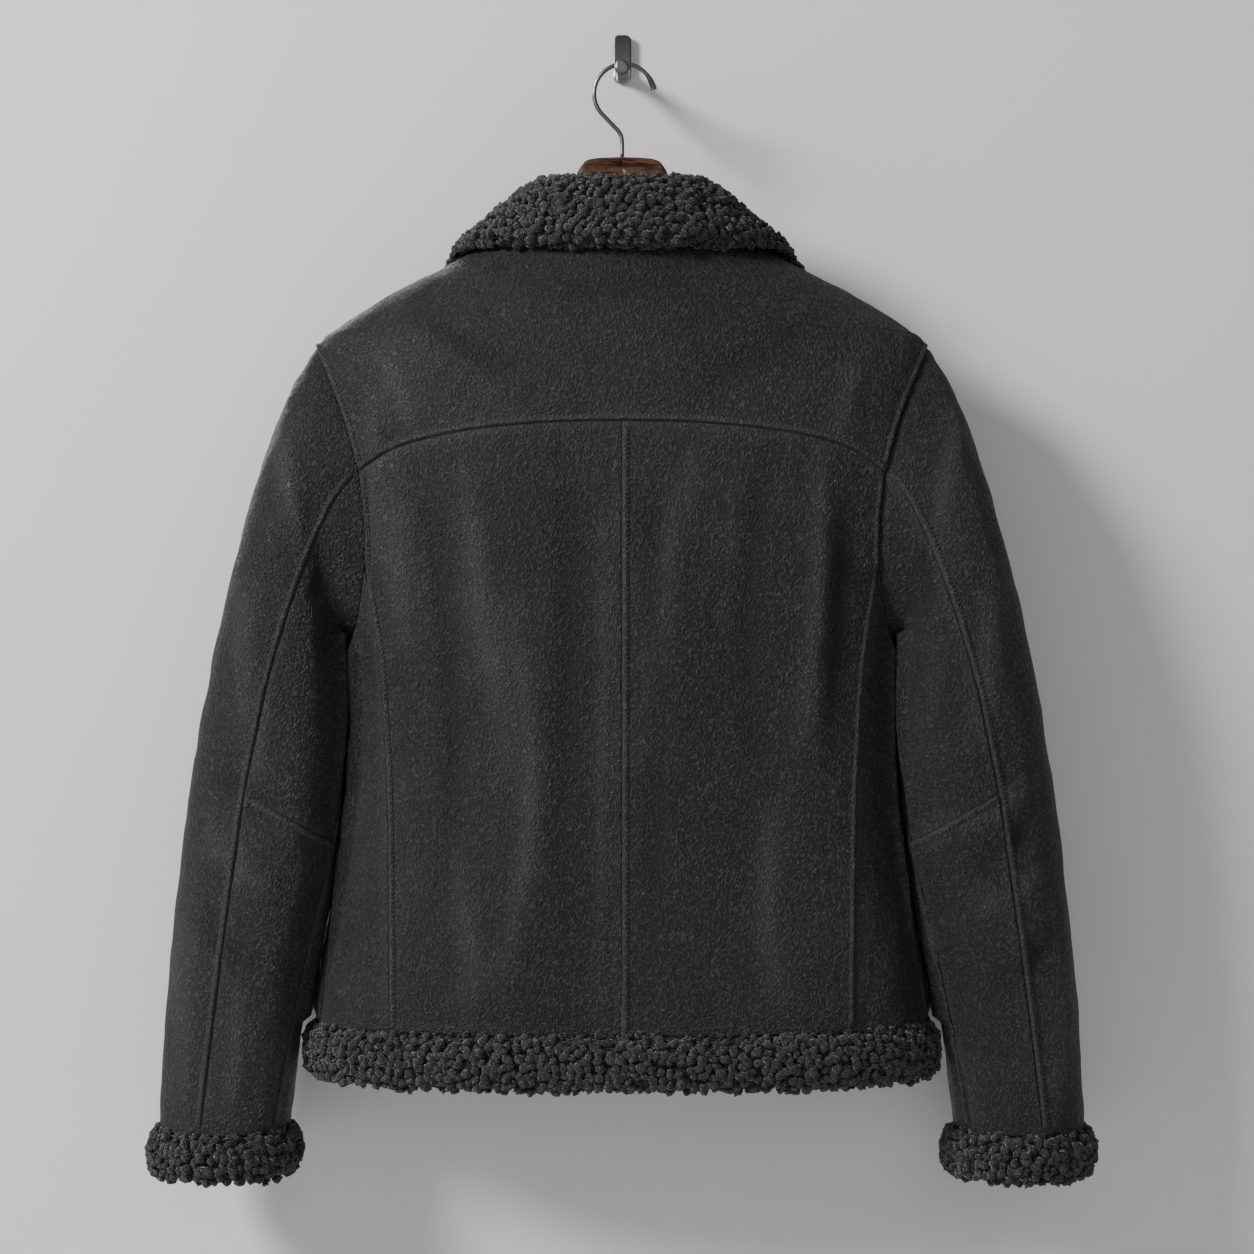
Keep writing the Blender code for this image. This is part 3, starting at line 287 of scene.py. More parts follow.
def wool_finish():
    """Clipped wool on the inner side of the skins."""
    props = bpy.context.scene.jacket_fur
    m = Finish("clipped_wool")
    where = m.place()
    tufts = m.cells(m.bend(where, 0.006, 90.0), 210.0)
    fibre = m.noise(where, 800.0, 2.0, 0.6)
    # Pale tuft middles, with painted shade in the gaps between the tufts.
    share = (1 - tufts.between(0.1, 0.9)) * 0.75 + (fibre - 0.5) * 0.5
    colour = m.mix(share.math("MAXIMUM", 0.0, clamp=True), props.gap_shade_tone, props.tone)
    return m.set(colour=colour, roughness=0.92, sheen=0.3, sheen_roughness=0.4, specular=0.2,
                 normal=m.bump((1 - tufts) + fibre * 0.35, 0.0035, 0.9))


def wood_finish():
    """Dark brown lacquered wood with fine straight grain along the arms."""
    props = bpy.context.scene.jacket_hanger
    m = Finish("lacquered_wood")
    where = m.place(scale=(1.0, 5.0, 9.0), turn=(0, radians(6), 0))
    grain = m.noise(where, 42.0, 5.0, 0.68, 0.8)
    pores = m.noise(m.place(scale=(1.0, 14.0, 26.0)), 110.0, 2.0, 0.7)
    cloud = m.noise(m.place(), 40.0, 2.0)
    share = grain.between(0.40, 0.60) * 0.80 + (pores - 0.5) * 1.4 + (cloud - 0.5) * 0.8 - 0.04
    dark = [0.07 * channel for channel in props.wood]
    colour = m.mix(share.math("MAXIMUM", 0.0, clamp=True), dark, props.wood)
    return m.set(colour=colour, roughness=0.42 - grain * 0.10, coat=0.08, coat_roughness=0.25,
                 specular=0.22, normal=m.bump(pores + grain * 0.5, 0.0003, 0.6))


def steel_finish():
    """Drawn steel wire: fine scratches and dull patches."""
    props = bpy.context.scene.jacket_hanger
    m = Finish("drawn_steel")
    scratches = m.noise(m.place(scale=(6.0, 6.0, 1.0)), 900.0, 2.0, 0.6)
    patches = m.noise(m.place(), 130.0, 3.0, 0.6).between(0.45, 0.7)
    dull = [0.45 * channel for channel in props.steel]
    colour = m.mix(patches * 0.6 + scratches * 0.2, props.steel, dull)
    return m.set(colour=colour, metallic=1.0, roughness=0.26 + patches * 0.22 + scratches * 0.12,
                 normal=m.bump(scratches, 0.00006, 0.5))


def plate_finish():
    """Dull dark plate of the wall hook, lighter towards the bottom and pale at its lower end."""
    m = Finish("hook_plate_steel")
    height = m.node("ShaderNodeSeparateXYZ", None, {"Vector": m.place()}, "Z")
    pale_lower_end = 1 - height.between(-0.012, -0.008)
    spots = m.noise(m.place(), 420.0, 3.0, 0.6)
    low = 1 - height.between(-0.006, 0.020)
    dark = m.mix(spots * 0.5 + low * 0.5, (0.038, 0.038, 0.038), (0.115, 0.113, 0.110))
    pale = m.mix(spots, (0.24, 0.235, 0.22), (0.42, 0.41, 0.39))
    return m.set(colour=m.mix(pale_lower_end, dark, pale), metallic=1.0, roughness=0.40 - spots * 0.12,
                 normal=m.bump(spots, 0.00015, 0.6))


def brass_finish():
    """Dark aged brass of the zip, brighter where it rubs."""
    m = Finish("aged_brass")
    rub = m.noise(m.place(), 420.0, 3.0, 0.6).between(0.4, 0.7)
    colour = m.mix(rub, (0.075, 0.062, 0.043), (0.23, 0.19, 0.125))
    return m.set(colour=colour, metallic=1.0, roughness=0.46 - rub * 0.18,
                 normal=m.bump(rub, 0.00008, 0.4))


def tape_finish():
    """Black twill tape of the zip."""
    m = Finish("zip_twill")
    where = m.place(scale=(1, 0.15, 1), turn=(0, radians(38), 0))
    ribs = m.node("ShaderNodeTexWave", {"bands_direction": "X"},
                  {"Vector": where, "Scale": 420.0, "Distortion": 0.6, "Detail": 1.0}, "Fac")
    colour = m.mix(ribs, (0.006, 0.006, 0.006), (0.022, 0.021, 0.021))
    return m.set(colour=colour, roughness=0.85, normal=m.bump(ribs, 0.00025, 0.8), sheen=0.2)


MAKERS = {"leather": leather_finish, "edge": cut_edge_finish, "thread": thread_finish,
          "curl": curl_finish, "wool": wool_finish, "wood": wood_finish, "steel": steel_finish,
          "plate": plate_finish, "brass": brass_finish, "tape": tape_finish}


# Meshes and objects

def add_object(name, data):
    item = bpy.data.objects.new(name, data)
    bpy.context.scene.collection.objects.link(item)
    return item


def finished_mesh(name, bm):
    mesh = bpy.data.meshes.new(name)
    bm.to_mesh(mesh)
    bm.free()
    return mesh


def applied_mesh(guide):
    """The guide object's mesh after its modifiers; the guide itself goes."""
    bpy.context.view_layer.update()
    result = bpy.data.meshes.new_from_object(
        guide.evaluated_get(bpy.context.evaluated_depsgraph_get()))
    bpy.data.objects.remove(guide)
    return result


def read_points(mesh):
    points = np.empty(len(mesh.vertices) * 3)
    mesh.vertices.foreach_get("co", points)
    return points.reshape(-1, 3)


def write_points(mesh, points):
    mesh.vertices.foreach_set("co", points.ravel())
    mesh.update()


def read_normals(mesh):
    normals = np.empty(len(mesh.vertices) * 3, np.float32)
    mesh.vertex_normals.foreach_get("vector", normals)
    return normals.reshape(-1, 3)


def read_edges(mesh):
    """Both ends of every edge."""
    edges = np.empty(len(mesh.edges) * 2, int)
    mesh.edges.foreach_get("vertices", edges)
    return edges.reshape(-1, 2)


def write_values(mesh, name, values):
    """One value a point, kept as an attribute for the finishes."""
    mesh.attributes.new(name, "FLOAT", "POINT").data.foreach_set(
        "value", np.broadcast_to(values, len(mesh.vertices)).astype(np.float32))


def search_tree(*meshes):
    points, faces = [], []
    for mesh in meshes:
        faces += [[len(points) + i for i in p.vertices] for p in mesh.polygons]
        points += [v.co.copy() for v in mesh.vertices]
    return BVHTree.FromPolygons(points, faces)


def packed_tree(*nodes):
    return search_tree(*(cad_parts[node].data for node in nodes))


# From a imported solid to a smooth, dense copy

SHARP = radians(44)          # steeper edges part a wall's sides from its rims
THICKEST = 0.0072            # more than any wall, less than the way along one


def merged_copy(node, wall=False):
    """The solid's faces welded, with pairs of triangles joined into quads again."""
    bm = bmesh.new()
    bm.from_mesh(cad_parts[node].data)
    bmesh.ops.remove_doubles(bm, verts=bm.verts, dist=2e-5)
    for edge in bm.edges:
        edge.seam = len(edge.link_faces) == 2 and edge.calc_face_angle() > SHARP
    if wall:
        soften_folds(bm)
    bmesh.ops.join_triangles(bm, faces=bm.faces, cmp_seam=True, angle_face_threshold=radians(28),
                             angle_shape_threshold=radians(60))
    return bm


def regions(bm):
    """Groups of faces parted by sharp edges, largest first."""
    left, groups = set(bm.faces), []
    while left:
        start = left.pop()
        group, front = [start], [start]
        while front:
            face = front.pop()
            for edge in face.edges:
                if not edge.seam:
                    for other in edge.link_faces:
                        if other in left:
                            left.discard(other)
                            group.append(other)
                            front.append(other)
        groups.append(group)
    return sorted(groups, key=lambda group: -sum(face.calc_area() for face in group))


def soften_folds(bm):
    """Steep folds within one side of a wall lose their mark: only its rims stay sharp."""
    tree = BVHTree.FromBMesh(bm)
    groups = regions(bm)
    side_of = {face: index for index in (0, 1) for face in groups[index]}
    for group in groups[2:]:
        depths = []
        for face in group:
            start = face.calc_center_median() - face.normal * 1e-5
            depths.append(tree.ray_cast(start, -face.normal)[3] or 1.0)
        touching = {side_of[other] for face in group for edge in face.edges
                    for other in edge.link_faces if other in side_of}
        if sorted(depths)[len(depths) // 2] < THICKEST and len(touching) == 1:
            side_of.update(dict.fromkeys(group, min(touching)))
    for edge in bm.edges:
        ends = {side_of.get(face) for face in edge.link_faces}
        if len(ends) == 1 and None not in ends:
            edge.seam = False


def smooth_mesh(name, bm, levels):
    """The mesh after Subdivision Surface, with the edges marked as seams kept sharp."""
    crease = bm.edges.layers.float.new("crease_edge")
    for edge in bm.edges:
        edge[crease] = 1.0 if edge.seam else 0.0
    mesh = finished_mesh(name, bm)
    guide = add_object(name, mesh)
    finer = guide.modifiers.new("finer", "SUBSURF")
    finer.levels = finer.render_levels = levels
    result = applied_mesh(guide)
    bpy.data.meshes.remove(mesh)
    result.name = name
    return result


def piece(name, mesh, materials, body="jacket", replaces=()):
    """Object of a finished mesh, riding on its body."""
    for index, material in enumerate(materials):
        if index < len(mesh.materials):
            mesh.materials[index] = finish(material)
        else:
            mesh.materials.append(finish(material))
    item = add_object(name, mesh)
    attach(item, body)
    if replaces:
        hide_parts(*replaces)
    return item


def touched(mesh, slots):
    """Which points belong to a face in one of the material slots."""
    material = np.empty(len(mesh.polygons), int)
    totals = np.empty(len(mesh.polygons), int)
    corners = np.empty(len(mesh.loops), int)
    mesh.polygons.foreach_get("material_index", material)
    mesh.polygons.foreach_get("loop_total", totals)
    mesh.loops.foreach_get("vertex_index", corners)
    mask = np.zeros(len(mesh.vertices), bool)
    mask[corners[np.isin(np.repeat(material, totals), slots)]] = True
    return mask


# Creases of the leather, in millimetres. x and z are local; face -1 is the
# back, 1 the front. Each is a bowed line from its top to its low end; a height below zero
# is a trough. The sleeves' rows follow those of the body.
CREASES = (
    # face, x_top, z_top, x_mid, z_mid, x_low, z_low, half_width, height
    (-1, -192, -262, -186, -330, -184, -400, 8, 1.6),
    (-1, -170, -300, -168, -380, -160, -470, 11, 1.4),
    (-1, -150, -330, -128, -480, -134, -640, 9, -1.2),
    (-1, -118, -310, -104, -420, -78, -560, 10, 1.3),
    (-1, -86, -420, -66, -560, -96, -720, 8.5, 1.4),
    (-1, -44, -300, -40, -460, -48, -640, 9, -1.1),
    (-1, -14, -330, -12, -520, -18, -740, 7, 1),
    (-1, 20, -330, 28, -480, 22, -700, 9, -1.2),
    (-1, 62, -300, 30, -430, 36, -560, 11, 1.4),
    (-1, 112, -300, 96, -420, 104, -560, 9, -1.4),
    (-1, 150, -290, 148, -400, 134, -540, 9, 1.5),
    (-1, 172, -330, 166, -420, 158, -560, 8, -1.2),
    (-1, 120, -560, 110, -640, 124, -736, 9, 1.2),
    (-1, -130, -600, -112, -670, -116, -742, 9, 1.1),
    (-1, -150, -196, -110, -228, -70, -246, 11, -0.9),
    (-1, 150, -200, 104, -232, 60, -250, 11, -1),
    (-1, -182, -222, -168, -262, -150, -300, 10, 1.2),
    (-1, 184, -226, 172, -264, 160, -304, 10, 1.2),
    (-1, -60, -170, -20, -182, 40, -176, 8, -0.7),
    (1, -176, -290, -160, -380, -150, -480, 10, 1.5),
    (1, -140, -250, -120, -340, -128, -440, 9, -1.2),
    (1, -90, -330, -76, -480, -94, -640, 10, 1.4),
    (1, -46, -300, -36, -440, -44, -600, 8, -1),
    (1, -130, -560, -118, -640, -128, -740, 10, 1.2),
    (1, 182, -280, 170, -370, 156, -470, 10, 1.5),
    (1, 132, -260, 124, -360, 134, -470, 9, -1.2),
    (1, 84, -350, 94, -500, 78, -660, 10, 1.3),
    (1, 40, -320, 46, -460, 36, -620, 8, -1.1),
    (1, 136, -580, 124, -660, 134, -740, 9, 1.2),
    (-1, -262, -270, -252, -330, -232, -400, 9, 1.6),
    (-1, -236, -330, -230, -400, -222, -470, 8, -1.4),
    (-1, -290, -360, -284, -460, -268, -560, 11, 1.4),
    (-1, -308, -540, -286, -566, -250, -576, 8, -1.5),
    (-1, -312, -590, -290, -618, -258, -640, 8.5, 1.6),
    (-1, -318, -650, -300, -680, -270, -690, 8, -1.2),
    (-1, -334, -620, -336, -700, -330, -800, 10, 1.3),
    (-1, -290, -700, -292, -760, -300, -820, 8, 1.2),
    (1, -268, -300, -252, -360, -226, -410, 9, 1.6),
    (1, -310, -520, -284, -548, -246, -560, 9, -1.5),
    (1, -318, -570, -290, -600, -250, -612, 9, 1.7),
    (1, -326, -640, -300, -668, -262, -676, 8.5, -1.3),
    (1, -330, -710, -322, -760, -318, -820, 9, 1.2),
    (-1, 258, -262, 250, -320, 230, -392, 9, 1.6),
    (-1, 240, -320, 232, -390, 222, -450, 8, -1.3),
    (-1, 286, -380, 276, -470, 262, -540, 11, 1.4),
    (-1, 310, -552, 286, -574, 248, -590, 8, 1.8),
    (-1, 316, -580, 290, -602, 256, -622, 7, -1.7),
    (-1, 320, -618, 296, -640, 262, -650, 8, 1.6),
    (-1, 330, -660, 310, -690, 276, -706, 8.5, -1.3),
    (-1, 338, -640, 340, -720, 334, -810, 10, 1.2),
    (1, 270, -296, 254, -352, 228, -404, 9, 1.6),
    (1, 312, -530, 286, -556, 248, -570, 9, -1.5),
    (1, 320, -580, 292, -610, 252, -626, 9, 1.7),
    (1, 328, -650, 302, -676, 264, -690, 8.5, -1.3),
)


def crease_path(row):
    """Points every few millimetres along a crease, with a fade to its ends."""
    x0, z0, x1, z1, x2, z2, width, height = [value / 1000 for value in row]
    path = []
    for t in np.arange(25) / 24:
        x = x0 * (1 - t) * (1 - 2 * t) + 4 * x1 * t * (1 - t) + x2 * t * (2 * t - 1)
        z = z0 * (1 - t) * (1 - 2 * t) + 4 * z1 * t * (1 - t) + z2 * t * (2 * t - 1)
        wobble = 0.0022 * noise.noise(Vector((x * 30, z * 22, width * 900)))
        path.append((x + wobble, z, max(sin(pi * t), 0) ** 0.7))
    return np.array(path), width, height


def crease_heights(points, normals, creases):
    """Sum of the creases' heights at each point; each crease works on its own face only."""
    x, z = points[:, 0], points[:, 2] - HANG_Z
    heights = np.zeros(len(points))
    for face, (path, width, height) in creases:
        facing = np.clip(normals[:, 1] * face * 1.6 - 0.15, 0, 1)
        near = np.nonzero((facing > 0) & (np.abs(x - path[:, 0].mean()) < 0.12))[0]
        if not len(near):
            continue
        distance = np.full(len(near), 1e9)
        fade = np.zeros(len(near))
        for a, b in zip(path[:-1], path[1:]):
            ab = b[:2] - a[:2]
            t = np.clip(((x[near] - a[0]) * ab[0] + (z[near] - a[1]) * ab[1]) / (ab @ ab), 0, 1)
            d = np.hypot(x[near] - a[0] - ab[0] * t, z[near] - a[1] - ab[1] * t)
            closer = d < distance
            distance = np.where(closer, d, distance)
            fade = np.where(closer, a[2] + (b[2] - a[2]) * t, fade)
        heights[near] += height * fade * np.exp(-(distance / width) ** 2) * facing[near]
    return heights


def lump_heights(points, size, height, seed):
    """Soft unevenness of thick skin."""
    shift = Vector((seed * 1.7, seed * 0.9, seed * 2.3))
    return np.array([height * noise.noise(Vector(p) / size + shift) for p in points])


def seam_distance(mesh, outside, contour):
    """Distance of each outside point from the edge of its piece."""
    points, edges = read_points(mesh), read_edges(mesh)
    rim = edges[contour[edges].all(axis=1)]
    tree = KDTree(len(rim) * 4)
    for k, (a, b) in enumerate(rim):
        for j in range(4):
            tree.insert(points[a] + (points[b] - points[a]) * j / 4, k * 4 + j)
    tree.balance()
    distance = np.ones(len(points))
    for i in np.nonzero(outside)[0]:
        distance[i] = tree.find(points[i])[2]
    return distance


SLEEVE_NODES = ("sleeve_top", "sleeve_under_upper", "sleeve_under_lower")
BODY_NODES = ("back", "side", "front")
TOUCH_REACH = 0.032          # widest gap between a sleeve and the body that the two close
TOUCH_SHARE = 0.52           # of that gap, taken up by each of the two
HAIRLINE = 0.0003            # left between pieces that touch
SHOULDER_ROUNDS = 40         # of easing the ridges over the ends of the hanger's arms


def press_heights(node, points, normals):
    """How far a sleeve and the body swell towards each other where they hang side by side."""
    stem, _, word = node.rpartition("_")
    if node == "back_yoke":
        return np.zeros(len(points))
    others = BODY_NODES if stem in SLEEVE_NODES else SLEEVE_NODES
    tree = packed_tree(*(f"{other}_{word}" for other in others))
    heights = np.zeros(len(points))
    for i, (point, normal) in enumerate(zip(points, normals)):
        hit = tree.ray_cast(Vector(point), Vector(normal), TOUCH_REACH)
        if hit[0] is not None:
            heights[i] = max(hit[3] - HAIRLINE, 0) * TOUCH_SHARE * (1 - (hit[3] / TOUCH_REACH) ** 3)
    return heights


def all_creases():
    depth = bpy.context.scene.jacket_leather.crease_depth
    found = []
    for face, *row in CREASES:
        path, width, height = crease_path(row)
        found.append((face, (path, width, height * depth)))
    return found


LEATHER_MESHES = {}          # finished leather meshes, for the seams laid on them

# Cut of each leather piece: width, length and area of the flat skin, and the pieces that carry it
CUTS = {
    "back_yoke": (0.540, 0.200, 0.079, ("hanger_left", "hanger_right")),
    "back": (0.215, 0.475, 0.087, ("back_yoke_leather",)),
    "side": (0.080, 0.365, 0.0215, ("back_yoke_leather",)),
    "front": (0.270, 0.625, 0.134, ("back_yoke_leather",)),
    "sleeve_top": (0.300, 0.640, 0.150, ("back_yoke_leather",)),
    "sleeve_under_upper": (0.097, 0.295, 0.0200, ("back_yoke_leather",)),
    "sleeve_under_lower": (0.088, 0.285, 0.0178, ("back_yoke_leather",)),
}
LEATHER_NODES = ["back_yoke"] + [f"{name}_{word}" for name in list(CUTS)[1:] for _, word in SIDES]


def smooth_skin(node):
    """A cut skin's solid as a dense smooth mesh; slots tell its outside, wool side and cut edges."""
    bm = merged_copy(node, wall=True)
    for index, group in enumerate(regions(bm)):
        for face in group:
            face.material_index = min(index, CUT_EDGE)
            face.smooth = True
    give_back_slivers(bm)
    return smooth_mesh(f"{node}_leather", bm, 3)


# The sleeve's back seam: where the solids part, and where the real seam runs. x and z are local.
SLEEVE_SEAM = (
    # solid_x, solid_z, x, z
    (0.2006, -0.3203, 0.2006, -0.3203),
    (0.2174, -0.3226, 0.2087, -0.3292),
    (0.2335, -0.3264, 0.2159, -0.3384),
    (0.2451, -0.3339, 0.2208, -0.3469),
    (0.2534, -0.3491, 0.2261, -0.3581),
    (0.2643, -0.3781, 0.2350, -0.3781),
    (0.2782, -0.4236, 0.2508, -0.4236),
    (0.2917, -0.4844, 0.2682, -0.4844),
    (0.3039, -0.5548, 0.2845, -0.5640),
    (0.3160, -0.6358, 0.2960, -0.6398),
    (0.3251, -0.7148, 0.3070, -0.7148),
    (0.3299, -0.7830, 0.3162, -0.7830),
    (0.3329, -0.8258, 0.3215, -0.8258),
)


def move_sleeve_seam(meshes, side, word):
    """Slide the sleeve's skins over its back until their seam lies on its real line."""
    rows = np.array(SLEEVE_SEAM)
    steps = np.linspace(0, len(rows) - 1, 6 * len(rows))
    rows = np.array([np.interp(steps, np.arange(len(rows)), column) for column in rows.T]).T
    all_points = np.concatenate([read_points(mesh) for mesh in meshes])
    heights = all_points[:, 2] - HANG_Z
    levels = np.arange(-0.820, -0.235, 0.012)
    bands = [np.abs(all_points[np.abs(heights - z) < 0.010][:, 0]) for z in levels]
    inner, outer = [[f(band) for band in bands] for f in (np.min, np.max)]
    skins = [piece_tree(mesh) for mesh in meshes]
    body = [packed_tree(name) for name in ("back_yoke", f"back_{word}", f"side_{word}")]

    def back_y(x, z):
        """Where the sleeve's back is at this place, looking to both sides of a hairline seam."""
        hits = [tree.ray_cast(Vector((side * x + dx, -1, z + HANG_Z)), Vector((0, 1, 0)))[0]
                for tree in skins for dx in (0, 0.0008, -0.0008)]
        found = [hit.y for hit in hits if hit is not None and hit.y < HANG_Y + 0.03]
        return min(found) if found else None

    for mesh in meshes:
        points = read_points(mesh)
        x, z = np.abs(points[:, 0]), points[:, 2] - HANG_Z
        to_seam = np.full(len(points), 1e9)
        for a, b in zip(rows[:-1, :2], rows[1:, :2]):
            ab = b - a
            t = np.clip(((x - a[0]) * ab[0] + (z - a[1]) * ab[1]) / (ab @ ab), 0, 1)
            to_seam = np.minimum(to_seam, np.hypot(x - a[0] - ab[0] * t, z - a[1] - ab[1] * t))
        to_side = np.minimum(x - np.interp(z, levels, inner), np.interp(z, levels, outer) - x)
        for i in np.nonzero((to_side > 0) & (points[:, 1] < HANG_Y + 0.03))[0]:
            y = back_y(x[i], z[i])
            if y is None or points[i, 1] - y > 0.015:
                continue
            to_body = min(tree.find_nearest(Vector(points[i]))[3] for tree in body)
            limit = min(max(to_body - 0.0004, 0), to_side[i])
            pull = 1 / ((rows[:, 0] - x[i]) ** 2 + (rows[:, 1] - z[i]) ** 2 + 0.004 ** 2) ** 2
            shift = (rows[:, 2:] - rows[:, :2]).T @ pull / pull.sum()
            shift *= limit / (limit + to_seam[i] + 1e-6) * min(1.5 - (points[i, 1] - y) / 0.010, 1)
            new_y = back_y(x[i] + shift[0], z[i] + shift[1])
            if new_y is not None:
                points[i] += (side * shift[0], new_y - y, shift[1])
        write_points(mesh, points)


def round_shoulders(mesh):
    """Take the hard ridge out of the yoke where the hanger's arms end."""
    points = read_points(mesh)
    x, z = np.abs(points[:, 0]), points[:, 2] - HANG_Z
    fixed = touched(mesh, [CUT_EDGE])
    share = (np.clip((x - 0.09) / 0.05, 0, 1) * np.clip((z + 0.255) / 0.02, 0, 1)
             * np.clip((-0.165 - z) / 0.02, 0, 1) * ~fixed)
    a, b = read_edges(mesh).T
    ends, others = np.concatenate([a, b]), np.concatenate([b, a])
    count = np.bincount(ends, minlength=len(points))
    for _ in range(SHOULDER_ROUNDS):
        mean = np.array([np.bincount(ends, points[others, axis], len(points)) for axis in range(3)]).T
        points += (mean / count[:, None] - points) * (share * 0.5)[:, None]
    write_points(mesh, points)


def give_back_slivers(bm):
    """Folded faces in the middle of one side, which touch no other side, become part of it."""
    left = {face for face in bm.faces if face.material_index == CUT_EDGE}
    while left:
        start = left.pop()
        cluster, sides = [start], set()
        for face in cluster:
            for edge in face.edges:
                for other in edge.link_faces:
                    if other in left:
                        left.discard(other)
                        cluster.append(other)
                    elif other.material_index != CUT_EDGE:
                        sides.add(other.material_index)
        if len(sides) == 1:
            for face in cluster:
                face.material_index = min(sides)
    for edge in bm.edges:
        if len({face.material_index for face in edge.link_faces}) == 1 and \
                edge.link_faces[0].material_index != CUT_EDGE:
            edge.seam = False


def leather_piece(node, mesh, creases, seed):
    """One cut skin: leather outside with creases and dipped seams, wool inside."""
    points, normals = read_points(mesh), read_normals(mesh)
    outside = touched(mesh, [OUTSIDE])
    contour = outside & touched(mesh, [WOOL_SIDE, CUT_EDGE])
    wool = touched(mesh, [WOOL_SIDE]) & ~touched(mesh, [CUT_EDGE])
    distance = seam_distance(mesh, outside, contour)
    free = np.clip(distance / 0.012, 0, 1)
    heights = np.zeros(len(points))
    folds = np.zeros(len(points))
    folds[outside] = crease_heights(points[outside], normals[outside], creases)
    heights[outside] = (folds[outside] + press_heights(node, points[outside], normals[outside])
                        + lump_heights(points[outside], 0.034, 0.0010, seed)
                        + lump_heights(points[outside], 0.014, 0.0006, seed + 5)) * free[outside]
    pucker = np.exp(-((distance - 0.009) / 0.006) ** 2)
    near = outside & (distance < 0.03)
    heights[near] += (lump_heights(points[near], 0.0085, 0.0006, seed + 9) * pucker[near])
    heights[contour] = -0.0007
    heights[wool] = -np.abs(lump_heights(points[wool], 0.010, 0.0012, seed + 3))
    write_points(mesh, points + normals * heights[:, None])
    write_values(mesh, "seam_wear", np.exp(-(distance / 0.006) ** 2))
    # Painted light of the creases: highlight painted on their crests, shade painted in their troughs.
    write_values(mesh, "fold_light_shade", np.clip(folds / 0.0024, -1, 1))
    word = node.rsplit("_", 1)[0] if node != "back_yoke" else node
    item = piece(f"{node}_leather", mesh, ("leather", "wool", "edge"), replaces=(node,))
    LEATHER_MESHES[node] = mesh
    return item


# Seams: welts and topstitching laid along the pieces' edges

def outline(mesh):
    """Closed line of points round the outside of a leather piece."""
    bm = bmesh.new()
    bm.from_mesh(mesh)
    rim = [edge for edge in bm.edges
           if sorted(face.material_index == OUTSIDE for face in edge.link_faces) == [False, True]]
    at = {}
    for edge in rim:
        for vert in edge.verts:
            at.setdefault(vert.index, []).append(edge.other_vert(vert).index)
    start = rim[0].verts[0].index
    line, before = [start], None
    while True:
        step = [v for v in at[line[-1]] if v != before]
        before = line[-1]
        if not step or step[0] == start:
            break
        line.append(step[0])
    bm.verts.ensure_lookup_table()
    points = [bm.verts[i].co.copy() for i in line]
    bm.free()
    return points


def stretch(points, keep):
    """The longest run of a closed line whose points are all kept."""
    flags = [keep(abs(p.x), p.y - HANG_Y, p.z - HANG_Z) for p in points]
    if all(flags):
        return points
    first = flags.index(False)
    points, flags = points[first:] + points[:first], flags[first:] + flags[:first]
    best, run = [], []
    for point, flag in zip(points, flags):
        run = run + [point] if flag else []
        best = run if len(run) > len(best) else best
    return best


def even_line(points, step):
    """The same line with evenly spaced points."""
    lengths = np.cumsum([0.0] + [(b - a).length for a, b in zip(points[:-1], points[1:])])
    count = max(int(lengths[-1] / step), 2)
    places = np.linspace(0, lengths[-1], count + 1)
    array = np.array([tuple(p) for p in points])
    return [Vector([np.interp(s, lengths, array[:, axis]) for axis in range(3)]) for s in places]


def divider(x, z):
    """Above zero on the outer half of a sleeve."""
    return x - (0.19 + (-0.32 - z) * 0.2)


def elbow_line(x):
    return -0.572 - 0.60 * (0.2858 - x)


# Seam lines: the piece that laps over, the test that picks its edge, and whether a welt shows.
# Lengths are local, x counted from the middle to either side.
SEAMS = {
    "yoke": ("back_yoke", lambda x, y, z: z < -0.279 and x < 0.2002, True),
    "centre_back": ("back_right", lambda x, y, z: x < 0.003 and z < -0.286, True),
}
SIDE_SEAMS = {
    "shoulder": ("back_yoke", lambda x, y, z: y > 0.004 and x < 0.2318 and z < -0.1395, True),
    "armhole_yoke": ("back_yoke", lambda x, y, z: x > 0.2328 or (y < -0.012 and x > 0.2005), True),
    "armhole_back": ("back", lambda x, y, z: x > 0.188 and -0.3962 < z < -0.3212, True),
    "armhole_front": ("front", lambda x, y, z: x > 0.17 and -0.452 < z < -0.230, True),
    "side_back": ("back", lambda x, y, z: 0.168 < x < 0.1965 and -0.742 < z < -0.3985, True),
    "side_front": ("front", lambda x, y, z: x > 0.10 and -0.742 < z < -0.459, True),
    "sleeve_back": ("sleeve_top", lambda x, y, z: y < -0.012 and divider(x, z) > 0
                    and -0.8245 < z < -0.3225, True),
    "sleeve_inner": ("sleeve_top", lambda x, y, z: divider(x, z) < 0 and -0.8245 < z < -0.462, True),
    "elbow": ("sleeve_under_lower", lambda x, y, z: z > elbow_line(x) - 0.006, True),
    "front_edge": ("front", lambda x, y, z: x < 0.0098 and z < -0.216, False),
}


def seam_runs():
    """Every seam's line with the piece it lies on."""
    outlines = {node: outline(mesh) for node, mesh in LEATHER_MESHES.items()}
    runs = [(node, stretch(outlines[node], keep), welt) for node, keep, welt in SEAMS.values()]
    for stem, keep, welt in SIDE_SEAMS.values():
        for side, word in SIDES:
            if stem == "back_yoke":
                runs.append((stem, stretch_side(outlines[stem], keep, side), welt))
            else:
                node = f"{stem}_{word}"
                runs.append((node, stretch(outlines[node], keep), welt))
    return [run for run in runs if len(run[1]) > 3]


def stretch_side(points, keep, side):
    """As stretch, on one side of a piece that spans both."""
    far = Vector((0, 0, 0))
    masked = [p if p.x * side > 0 else far for p in points]
    return stretch(masked, lambda x, y, z: x > 0 and keep(x, y, z))


